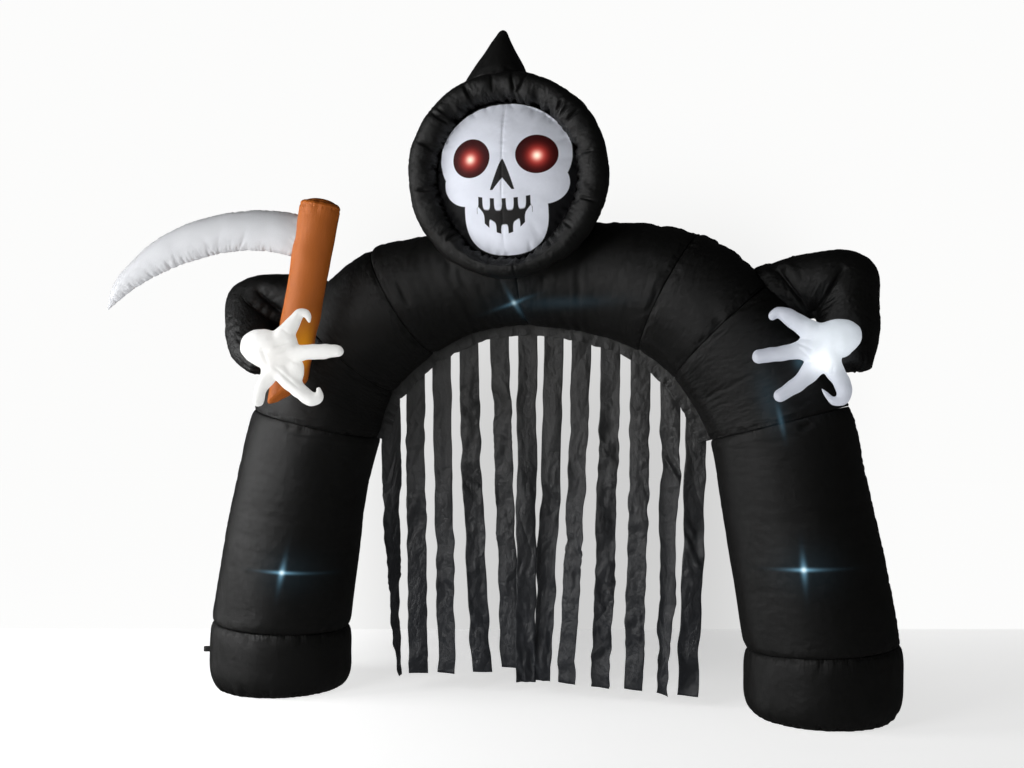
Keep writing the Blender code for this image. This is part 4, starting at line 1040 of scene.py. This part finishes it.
# ---------------------------------------------------------------- the hands
# Each hand is a flat stuffed glove of white cloth, front and back sewn together round the
# fingers, with a lamp inside.  The left one presses on the pole.
# A lump is x, y, z, half width, half depth, half height and its turn; a finger's points are x, z
# and the radius.
HANDS = {
    "left": {
        "lumps": (
            (-1.006, -0.474, 1.438, 0.111, 0.056, 0.078, -19),
            (-1.082, -0.412, 1.440, 0.045, 0.084, 0.045, 0),
            (-0.888, -0.474, 1.350, 0.040, 0.018, 0.056, 0),
            (-0.925, -0.474, 1.462, 0.046, 0.036, 0.046, 0),
        ),
        "fingers": (
            ((-0.975, 1.445, 0.034), (-0.933, 1.497, 0.034), (-0.905, 1.528, 0.030),
             (-0.879, 1.562, 0.022), (-0.858, 1.580, 0.019), (-0.838, 1.574, 0.016),
             (-0.826, 1.546, 0.006)),
            ((-0.985, 1.426, 0.034), (-0.848, 1.425, 0.030), (-0.752, 1.427, 0.028),
             (-0.704, 1.427, 0.022)),
            ((-0.985, 1.385, 0.036), (-0.893, 1.296, 0.031), (-0.850, 1.261, 0.029),
             (-0.806, 1.240, 0.026), (-0.784, 1.252, 0.018), (-0.785, 1.278, 0.008)),
            ((-0.985, 1.385, 0.036), (-0.999, 1.330, 0.032), (-1.026, 1.288, 0.026),
             (-1.038, 1.254, 0.023), (-1.042, 1.228, 0.020)),
        ),
        "folds": (
            (-0.891, 1.471, -0.954, 1.445, 0.005, 0.005), (-0.887, 1.444, -0.946, 1.417, 0.005, 0.004),
            (-0.896, 1.495, -0.929, 1.519, 0.005, 0.003), (-0.962, 1.370, -0.853, 1.279, 0.006, 0.006),
            (-1.005, 1.449, -0.979, 1.370, 0.007, 0.003), (-0.912, 1.405, -0.836, 1.365, 0.006, 0.004),
            (-0.971, 1.433, -1.022, 1.426, 0.006, 0.003), (-0.875, 1.550, -0.858, 1.581, 0.004, 0.003),
        ),
    },
    "right": {
        "lumps": (
            (1.172, -0.350, 1.458, 0.106, 0.052, 0.070, 14),
            (1.206, -0.296, 1.440, 0.046, 0.076, 0.048, 0),
            (1.100, -0.350, 1.425, 0.052, 0.040, 0.052, 0),
        ),
        "fingers": (
            ((1.140, 1.465, 0.038), (1.089, 1.495, 0.036), (1.035, 1.528, 0.032),
             (1.003, 1.550, 0.028), (0.976, 1.558, 0.022), (0.961, 1.551, 0.019),
             (0.957, 1.539, 0.010)),
            ((1.150, 1.440, 0.036), (1.071, 1.422, 0.032), (0.962, 1.403, 0.027),
             (0.907, 1.397, 0.026)),
            ((1.155, 1.400, 0.040), (1.106, 1.355, 0.037), (1.072, 1.317, 0.032),
             (1.030, 1.282, 0.026), (0.982, 1.251, 0.023)),
            ((1.155, 1.410, 0.038), (1.183, 1.331, 0.034), (1.206, 1.290, 0.031),
             (1.211, 1.254, 0.027), (1.197, 1.234, 0.021), (1.173, 1.233, 0.014),
             (1.148, 1.256, 0.008), (1.134, 1.274, 0.004)),
        ),
        "folds": (
            (1.037, 1.449, 1.104, 1.416, 0.005, 0.005), (1.044, 1.431, 1.097, 1.379, 0.005, 0.004),
            (1.041, 1.460, 1.098, 1.456, 0.004, 0.003), (1.065, 1.372, 1.125, 1.379, 0.005, 0.005),
            (0.970, 1.513, 0.991, 1.538, 0.004, 0.003), (1.005, 1.483, 1.031, 1.515, 0.005, 0.003),
            (1.132, 1.339, 1.139, 1.292, 0.005, 0.004), (1.178, 1.371, 1.167, 1.328, 0.005, 0.004),
            (1.041, 1.442, 0.998, 1.435, 0.004, 0.003),
        ),
    },
}


def hand_distance(points, hand):
    """Signed distance to a hand: the soft minimum, -log(sum of exp(-distance / blend)) * blend, of
    its ellipsoids and of balls close together along each finger."""
    blend = 0.006           # how far apart two lumps still run into each other
    parts = []
    for x, y, z, half_x, half_y, half_z, turned in hand["lumps"]:
        angle = math.radians(turned)
        off = points - np.array((x, y, z))
        along = off[:, 0] * math.cos(angle) + off[:, 2] * math.sin(angle)
        up = off[:, 2] * math.cos(angle) - off[:, 0] * math.sin(angle)
        reach = np.sqrt((along / half_x) ** 2 + (off[:, 1] / half_y) ** 2 + (up / half_z) ** 2)
        parts.append((reach - 1) * min(half_x, half_y, half_z))
    palm_y = hand["lumps"][0][1]
    for finger in hand["fingers"]:
        at, knots = natural_spline(finger)
        x, z, radius = at(np.linspace(0, knots[-1], 40)).T
        reach = np.sqrt((points[:, :1] - x) ** 2 + (points[:, 1:2] - palm_y) ** 2
                        + (points[:, 2:] - z) ** 2) - radius
        parts.append(reach.min(axis=1))
    return -blend * np.log(np.exp(-np.array(parts) / blend).sum(axis=0))


def hand_cover(name, hand, material):
    """A ball of evenly spread points for each lump and finger, joined by a voxel remesh, then each
    point slid down the slope of the signed distance until it lies on the hand's skin."""
    pieces = []
    bulk = list(hand["lumps"])
    palm_y = hand["lumps"][0][1]
    for finger in hand["fingers"]:
        at, knots = natural_spline(finger)
        for x, z, radius in at(np.linspace(0, knots[-1], 30)):
            bulk.append((x, palm_y, z, radius, radius, radius, 0))
    level, ring = np.linspace(-1, 1, 14)[1:-1, None], np.linspace(0, 2 * math.pi, 24, endpoint=False)
    for x, y, z, half_x, half_y, half_z, turned in bulk:
        flat = np.sqrt(1 - level**2)
        angle = math.radians(turned)
        along, up = half_x * flat * np.cos(ring), half_z * level + 0 * ring
        grid = np.stack((
            x + along * math.cos(angle) - up * math.sin(angle),
            y + half_y * flat * np.sin(ring),
            z + along * math.sin(angle) + up * math.cos(angle)), axis=-1)
        pieces.append(skin(name, grid, material))
    meshes = [piece.data for piece in pieces]
    with bpy.context.temp_override(active_object=pieces[0], selected_editable_objects=pieces,
                                   object=pieces[0], selected_objects=pieces):
        bpy.ops.object.join()
    glove = pieces[0]
    for mesh in meshes[1:]:
        bpy.data.meshes.remove(mesh)
    remesh = glove.modifiers.new("even", "REMESH")
    remesh.mode = "VOXEL"
    remesh.voxel_size = 0.0045
    graph = bpy.context.evaluated_depsgraph_get()
    mesh = bpy.data.meshes.new_from_object(glove.evaluated_get(graph))
    bpy.data.objects.remove(glove)
    points = np.empty(len(mesh.vertices) * 3)
    mesh.vertices.foreach_get("co", points)
    points = points.reshape(-1, 3) - MIDDLE
    for _ in range(4):
        slope = np.stack([hand_distance(points + step, hand) - hand_distance(points - step, hand)
                          for step in 0.001 * np.eye(3)], axis=1)
        slope /= np.linalg.norm(slope, axis=1, keepdims=True)
        points = points - 0.8 * hand_distance(points, hand)[:, None] * slope
    folds = creases(points[None], slope[None], hand["folds"])[0]
    points = points + (0.0015 * soft_noise(points, 0.035, 150) - folds)[:, None] * slope
    mesh.vertices.foreach_set("co", (points + MIDDLE).ravel())
    mesh.name = name
    mesh.shade_smooth()
    mesh.materials.clear()
    mesh.materials.append(material)
    glove = bpy.data.objects.new(name, mesh)
    bpy.context.scene.collection.objects.link(glove)
    return glove


def glove_cloth(name, colour, shine, glows):
    """White cloth that shines evenly, and more round each of its glows: x, z, reach and colour."""
    cloth = Cloth(name, Specular_IOR_Level=0.4, Sheen_Weight=0.1, Roughness=0.5, Emission_Strength=1.0)
    greyer = tuple(0.92 * part for part in colour)
    cloth.set("Base Color", cloth.noise(0.06, 4.0).mix(colour, greyer))
    light = shine
    for x_lamp, z_lamp, reach, tint in glows:
        across, up = cloth.x - (MIDDLE[0] + x_lamp), cloth.z - z_lamp
        light = ((across / reach).bell() * (up / reach).bell()).mix(light, tint)
    cloth.set("Emission Color", light)
    cloth.raised(0.0012 * cloth.noise(0.02, 4.0) + 0.0004 * cloth.noise(0.004, 2.0))
    return cloth.material


glove_left = hand_cover("hand_left_cover", HANDS["left"], glove_cloth(
    "glove_cloth_left", (0.53, 0.53, 0.52), (0.37, 0.37, 0.36),
    ((-0.97, 1.42, 0.10, (0.46, 0.45, 0.43)), (-1.08, 1.47, 0.07, (0.55, 0.55, 0.55)))))
air_filled(glove_left, "hand_left")
glove_right = hand_cover("hand_right_cover", HANDS["right"], glove_cloth(
    "glove_cloth_right", (0.46, 0.48, 0.53), (0.15, 0.16, 0.19),
    ((1.17, 1.44, 0.12, (0.52, 0.57, 0.60)), (1.133, 1.372, 0.040, (0.90, 0.95, 1.0)))))
air_filled(glove_right, "hand_right")

# ---------------------------------------------------------------- the curtain
# A band of thin matte black cloth follows the arch's inner line, and twelve long strips of the
# same cloth are sewn behind it and hang to just over the floor.
THICKNESS = 0.0016
STRIP_WIDTH = 0.082
STRIP_OVERLAP = 0.022       # how far a strip reaches up behind the band
STRIP_BEHIND = 0.0022       # how far behind the plane y = 0 it hangs
SEWN_SHARE = 0.03
BAND_TOP, BAND_SIDE = 0.047, 0.062
BAND_TUCK = 0.007           # how far the band reaches into the arch
BAND_FORWARD = 0.0004       # how far in front of that plane the band hangs
BAND_FLAT_WIDTH = 0.053
BAND_COLUMNS = 14
STRIPS = (      # x of the top and of the hem, z of the hem, turn of the hem, swing to the back
    (-0.648, -0.600, 0.072, 98, 0.010),
    (-0.537, -0.519, 0.080, 8, -0.008),
    (-0.422, -0.402, 0.084, -12, 0.012),
    (-0.302, -0.241, 0.100, 10, -0.010),
    (-0.169, -0.127, 0.118, -8, 0.022),
    (-0.047, -0.058, 0.068, 14, -0.022),
    (0.065, 0.004, 0.072, -6, 0.010),
    (0.181, 0.122, 0.070, -28, -0.012),
    (0.302, 0.252, 0.058, -10, 0.008),
    (0.426, 0.396, 0.058, -18, -0.010),
    (0.547, 0.500, 0.040, -48, 0.012),
    (0.650, 0.612, 0.044, 8, -0.006),
)


def sheet(name, grid, material, flat):
    """An open cloth from a grid of points, thickened evenly.  The UV map is in metres."""
    rows, columns = grid.shape[:2]
    index = np.arange(rows * columns).reshape(rows, columns)
    quads = np.stack((index[:-1, :-1], index[:-1, 1:], index[1:, 1:], index[1:, :-1]), axis=-1)
    quads = quads.reshape(-1, 4)
    mesh = bpy.data.meshes.new(name)
    mesh.from_pydata((grid + MIDDLE).reshape(-1, 3).tolist(), [], quads.tolist())
    place = np.stack((quads % columns * flat[0] / (columns - 1),
                      quads // columns * flat[1] / (rows - 1)), axis=-1)
    mesh.uv_layers.new(name="cloth").data.foreach_set("uv", place.ravel())
    mesh.shade_smooth()
    mesh.materials.append(material)
    piece = bpy.data.objects.new(name, mesh)
    bpy.context.scene.collection.objects.link(piece)
    wall = piece.modifiers.new("thickness", "SOLIDIFY")
    wall.thickness = THICKNESS
    wall.offset = 0.0
    return piece


def crumple(u, v, size, seed):
    """Creased unevenness: the mean of four triangle waves of random direction and phase, so flat
    facets meet in sharp folds."""
    draw = np.random.default_rng(seed)
    total = 0
    for _ in range(4):
        angle, phase = draw.uniform(0, math.pi), draw.uniform(0, 1)
        wave = (u * math.cos(angle) + v * math.sin(angle)) / (size * draw.uniform(0.6, 1.8)) + phase
        total = total + 4 * np.abs(wave % 1 - 0.5) - 1
    return total / 4


def curtain_cloth():
    cloth = Cloth("curtain_cloth", Specular_IOR_Level=0.6, Sheen_Weight=0.03)
    tone = cloth.noise(0.20, 3.0)
    colour = tone.mix((0.014, 0.014, 0.014), (0.030, 0.030, 0.029))
    low = (1.3 - cloth.z).within()
    cloth.set("Base Color", (0.6 * low).mix(colour, (0.012, 0.015, 0.022)))
    cloth.set("Roughness", 0.34 + 0.14 * cloth.noise(0.04, 4.0))
    sharp = 0.034 * abs(cloth.noise(0.11, 2.0, (1.0, 1.0, 0.55)) - 0.5)
    small = 0.012 * abs(cloth.noise(0.045, 2.0, (1.0, 1.0, 0.7)) - 0.5)
    cloth.raised(0.00012 * cloth.weave(0.0014) + sharp + small + 0.0015 * cloth.noise(0.02, 3.0))
    cloth.set("Alpha", 0.93 + 0.05 * cloth.noise(0.10, 2.0))
    return cloth.material


curtain = curtain_cloth()
places = np.linspace(arch_place["leg_left"] + 0.001, arch_place["leg_right"] - 0.001, 420)
x_in, z_in, x_out, z_out = arch_at(places).T
inward = np.stack((x_in - x_out, z_in - z_out), axis=1)
inward /= np.linalg.norm(inward, axis=1)[:, None]
seams = np.array([arch_place[end] for start, end in SECTIONS.values()])
from_seam = np.abs(places[:, None] - seams).min(axis=1)
edge = np.stack((x_in, z_in), axis=1) - inward * (BAND_TUCK + drawn_in(from_seam)[:, None])
share = np.clip(np.abs(places - arch_place["middle"])
                / (arch_place["leg_right"] - arch_place["middle"]), 0, 1)
width = BAND_TOP + (BAND_SIDE - BAND_TOP) * share
across = np.linspace(0, 1, BAND_COLUMNS)[None, :]
flat_band = edge[:, None] + inward[:, None] * (width[:, None] * across)[..., None]
ripple = (0.0020 * crumple(width[:, None] * across, places[:, None] + 0 * across, 0.12, 160)
          + 0.003 * soft_noise(np.stack((places, places, places), axis=1), 0.09, 161)[:, None])
lower_edge = 0.002 * soft_noise(np.stack((places, 0 * places, 0 * places), axis=1), 0.04, 162)
band_grid = np.stack((
    flat_band[..., 0] + inward[:, :1] * lower_edge[:, None] * across,
    ripple * across - BAND_FORWARD,
    flat_band[..., 1] + inward[:, 1:] * lower_edge[:, None] * across,
), axis=-1)
middle_line = band_grid[:, BAND_COLUMNS // 2]
band_length = float(np.linalg.norm(np.diff(middle_line, axis=0), axis=1).sum())
band = sheet("curtain_band_cover", band_grid, curtain, (BAND_FLAT_WIDTH, band_length))
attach(band, "root")
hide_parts("curtain_band")

hem_line = edge + inward * width[:, None]
order = np.argsort(hem_line[:, 0])
for number, (x_top, x_low, z_low, turned, swing) in enumerate(STRIPS, start=1):
    down = np.linspace(0, 1, 116)[:, None]
    loose = np.clip((down - SEWN_SHARE) / (1 - SEWN_SHARE), 0, 1)
    across = np.linspace(-0.5, 0.5, 16)[None, :]
    x_middle = x_top + (x_low - x_top) * down**1.4
    twist = np.radians(turned) * loose**0.6
    x_sewn = x_top + STRIP_WIDTH * across
    z_top = np.interp(x_sewn, hem_line[order, 0], hem_line[order, 1]) + STRIP_OVERLAP
    z = z_top + (z_low - z_top) * down
    length = float((z_top - z_low).mean())
    fade = np.clip(loose / (5 * SEWN_SHARE), 0, 1)
    ripple = 0.005 * np.sin(9 * down + 2.1 * number) * np.cos(math.pi * across)
    sway = swing * np.sin(0.75 * math.pi * loose)
    line = np.concatenate((length * down, 0 * down, 0 * down), axis=1)
    patchy = (0.55 + 0.6 * soft_noise(line, 0.20, 230 + number)[:, None]).clip(0.1, 1.3)
    bent = 0.05 * soft_noise(line, 0.15, 250 + number)[:, None]
    fold = 0.019 * patchy * crumple(STRIP_WIDTH * across + bent, 0.5 * length * down, 0.15, 170 + number)
    fine = 0.008 * patchy * crumple(STRIP_WIDTH * across + bent, 0.7 * length * down, 0.05, 190 + number)
    wander = 0.004 * soft_noise(line, 0.09, 210 + number)[:, None]
    off = fade * (ripple + sway + fold + fine) + STRIP_BEHIND
    x = x_middle + STRIP_WIDTH * across * np.cos(twist) + fade * wander - off * np.sin(twist)
    y = STRIP_WIDTH * across * np.sin(twist) + off * np.cos(twist)
    grid = np.stack(np.broadcast_arrays(x, y, z), axis=-1)
    strip = sheet(f"strip_{number:02d}_cover", grid, curtain, (STRIP_WIDTH, length))
    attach(strip, "root")
    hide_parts(f"strip_{number:02d}")

# ---------------------------------------------------------------- the tether loop
# A short bight of flat black webbing is sewn to the outside of the left foot, to tie it down.
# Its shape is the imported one.
webbing = Cloth("webbing", Roughness=0.7, Sheen_Weight=0.2)
ribs = webbing.place.maths("SINE", webbing.z * (2 * math.pi / 0.0022))
webbing.set("Base Color", webbing.noise(0.004, 3.0).mix((0.010, 0.010, 0.010), (0.022, 0.022, 0.022)))
webbing.raised(0.0003 * ribs + 0.0004 * webbing.noise(0.003))
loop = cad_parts["tether_loop"]
loop.data.materials.clear()
loop.data.materials.append(webbing.material)

# ---------------------------------------------------------------- the studio
# A plain pale floor and a white wall that seems to stand close behind the arch, a large soft light
# in front at the upper left, another at the left side, and the camera at chest height.
CAMERA_PLACE = np.array((1.160, -4.727, 1.198))
CAMERA_HEADING = 0.2238
CAMERA_RISE = math.radians(1.25)
camera = bpy.data.cameras.new("camera")
camera.lens = 41.66
camera.sensor_width = 36.0
view = bpy.data.objects.new("camera", camera)
view.location = CAMERA_PLACE
view.rotation_euler = (math.radians(90) + CAMERA_RISE, 0.0, CAMERA_HEADING)
bpy.context.scene.collection.objects.link(view)
bpy.context.scene.camera = view

WALL_LINE = 6.5             # how far from the camera the wall seems to meet the floor
ROOM = 16.0                 # half the width of the real room, wide enough for views of the back
ROOM_HEIGHT = 14.0
FLOOR_Z = -0.0005
SHADE_ASIDE, SHADE_UP = 0.40, 0.40          # the shade's middle, from the view's middle and the floor
SHADE_REACH = (1.15, 1.3, 1.6)              # to both sides, before the line and up
ahead = np.array((-math.sin(CAMERA_HEADING), math.cos(CAMERA_HEADING), 0.0))
sideways = np.array((math.cos(CAMERA_HEADING), math.sin(CAMERA_HEADING), 0.0))


def backdrop(name, corners, faces):
    """Flat pale surfaces that shine evenly, a little less where the arch keeps the light off.

    What lies past the wall's line has the wall's paint, and is shaded as the spot of a wall on
    that line that the camera sees it at: offsets from the camera times line distance over its own
    distance.  The shade falls off with the fourth power of the distance to both sides and up,
    and with the square of the distance before the line.  The floor is paler near the line, painted
    light that stands for the wall's bounce, and paler to the left."""
    mesh = bpy.data.meshes.new(name)
    mesh.from_pydata(corners, [], faces)
    paint = Cloth(name, Roughness=0.9, Emission_Strength=1.0)
    x, y = paint.x - CAMERA_PLACE[0], paint.y - CAMERA_PLACE[1]
    away = x * ahead[0] + y * ahead[1]
    past = ((away - WALL_LINE) / 0.01).within()
    nearer = WALL_LINE / away.within(WALL_LINE, 100.0)
    aside = (x * sideways[0] + y * sideways[1]) * nearer - SHADE_ASIDE
    up = (paint.z - CAMERA_PLACE[2]) * nearer + (CAMERA_PLACE[2] - SHADE_UP)
    before = (WALL_LINE - away).within(0.0, 100.0)
    shade = paint.place.maths("EXPONENT", -(
        abs(aside / SHADE_REACH[0]) ** 4.0 + (before / SHADE_REACH[1]) ** 2.0
        + abs(up / SHADE_REACH[2]) ** 4.0))
    paint.set("Base Color", past.mix((0.70, 0.70, 0.705), (0.0, 0.0, 0.0)))
    # Painted light: the floor is paler near the wall's line, as the wall's bounce would make it, and
    # paler to the left.
    paler = (0.40 * before.fade(1.2) + 0.3 * (aside / -3.0).within()).within()
    shine = past.mix(paler.mix((0.70, 0.70, 0.697), (1.0, 1.0, 0.995)), (0.972, 0.972, 0.967))
    paint.set("Emission Color", (0.37 * shade).mix(shine, (0.0, 0.0, 0.0)))
    mesh.materials.append(paint.material)
    made = bpy.data.objects.new(name, mesh)
    bpy.context.scene.collection.objects.link(made)
    made.visible_glossy = False
    return made


plan = ((-ROOM, -ROOM), (ROOM, -ROOM), (ROOM, ROOM), (-ROOM, ROOM))
floor_corners = [(x, y, FLOOR_Z) for x, y in plan]
ceiling_corners = [(x, y, ROOM_HEIGHT) for x, y in plan]
backdrop("floor", floor_corners, [(0, 1, 2, 3)])
walls = backdrop("walls", floor_corners + ceiling_corners,
                 [(1, 0, 4, 5), (2, 1, 5, 6), (3, 2, 6, 7), (0, 3, 7, 4)])
walls.visible_diffuse = False

LIGHTS = (      # name, place, what it looks at, width, height, power
    ("key", (-3.2, -4.7, 2.9), (0.0, 0.0, 1.3), 2.6, 2.6, 108),
    ("left", (-4.4, -1.5, 1.8), (0.0, 0.0, 1.3), 2.2, 2.8, 130),
)
for name, place, aim, width, height, power in LIGHTS:
    lamp = bpy.data.lights.new(name, "AREA")
    lamp.shape = "RECTANGLE"
    lamp.size, lamp.size_y, lamp.energy = width, height, power
    holder = bpy.data.objects.new(name, lamp)
    holder.location = place
    from_lamp = np.array(aim) - np.array(place)
    from_lamp = from_lamp / np.linalg.norm(from_lamp)
    holder.rotation_euler = (math.acos(-from_lamp[2]), 0.0, math.atan2(-from_lamp[0], from_lamp[1]))
    bpy.context.scene.collection.objects.link(holder)

world = bpy.data.worlds.new("studio")
world.use_nodes = True
world.node_tree.nodes["Background"].inputs["Color"].default_value = (1.0, 1.0, 1.0, 1.0)
world.node_tree.nodes["Background"].inputs["Strength"].default_value = 0.02
bpy.context.scene.world = world
bpy.context.scene.view_settings.view_transform = "Standard"
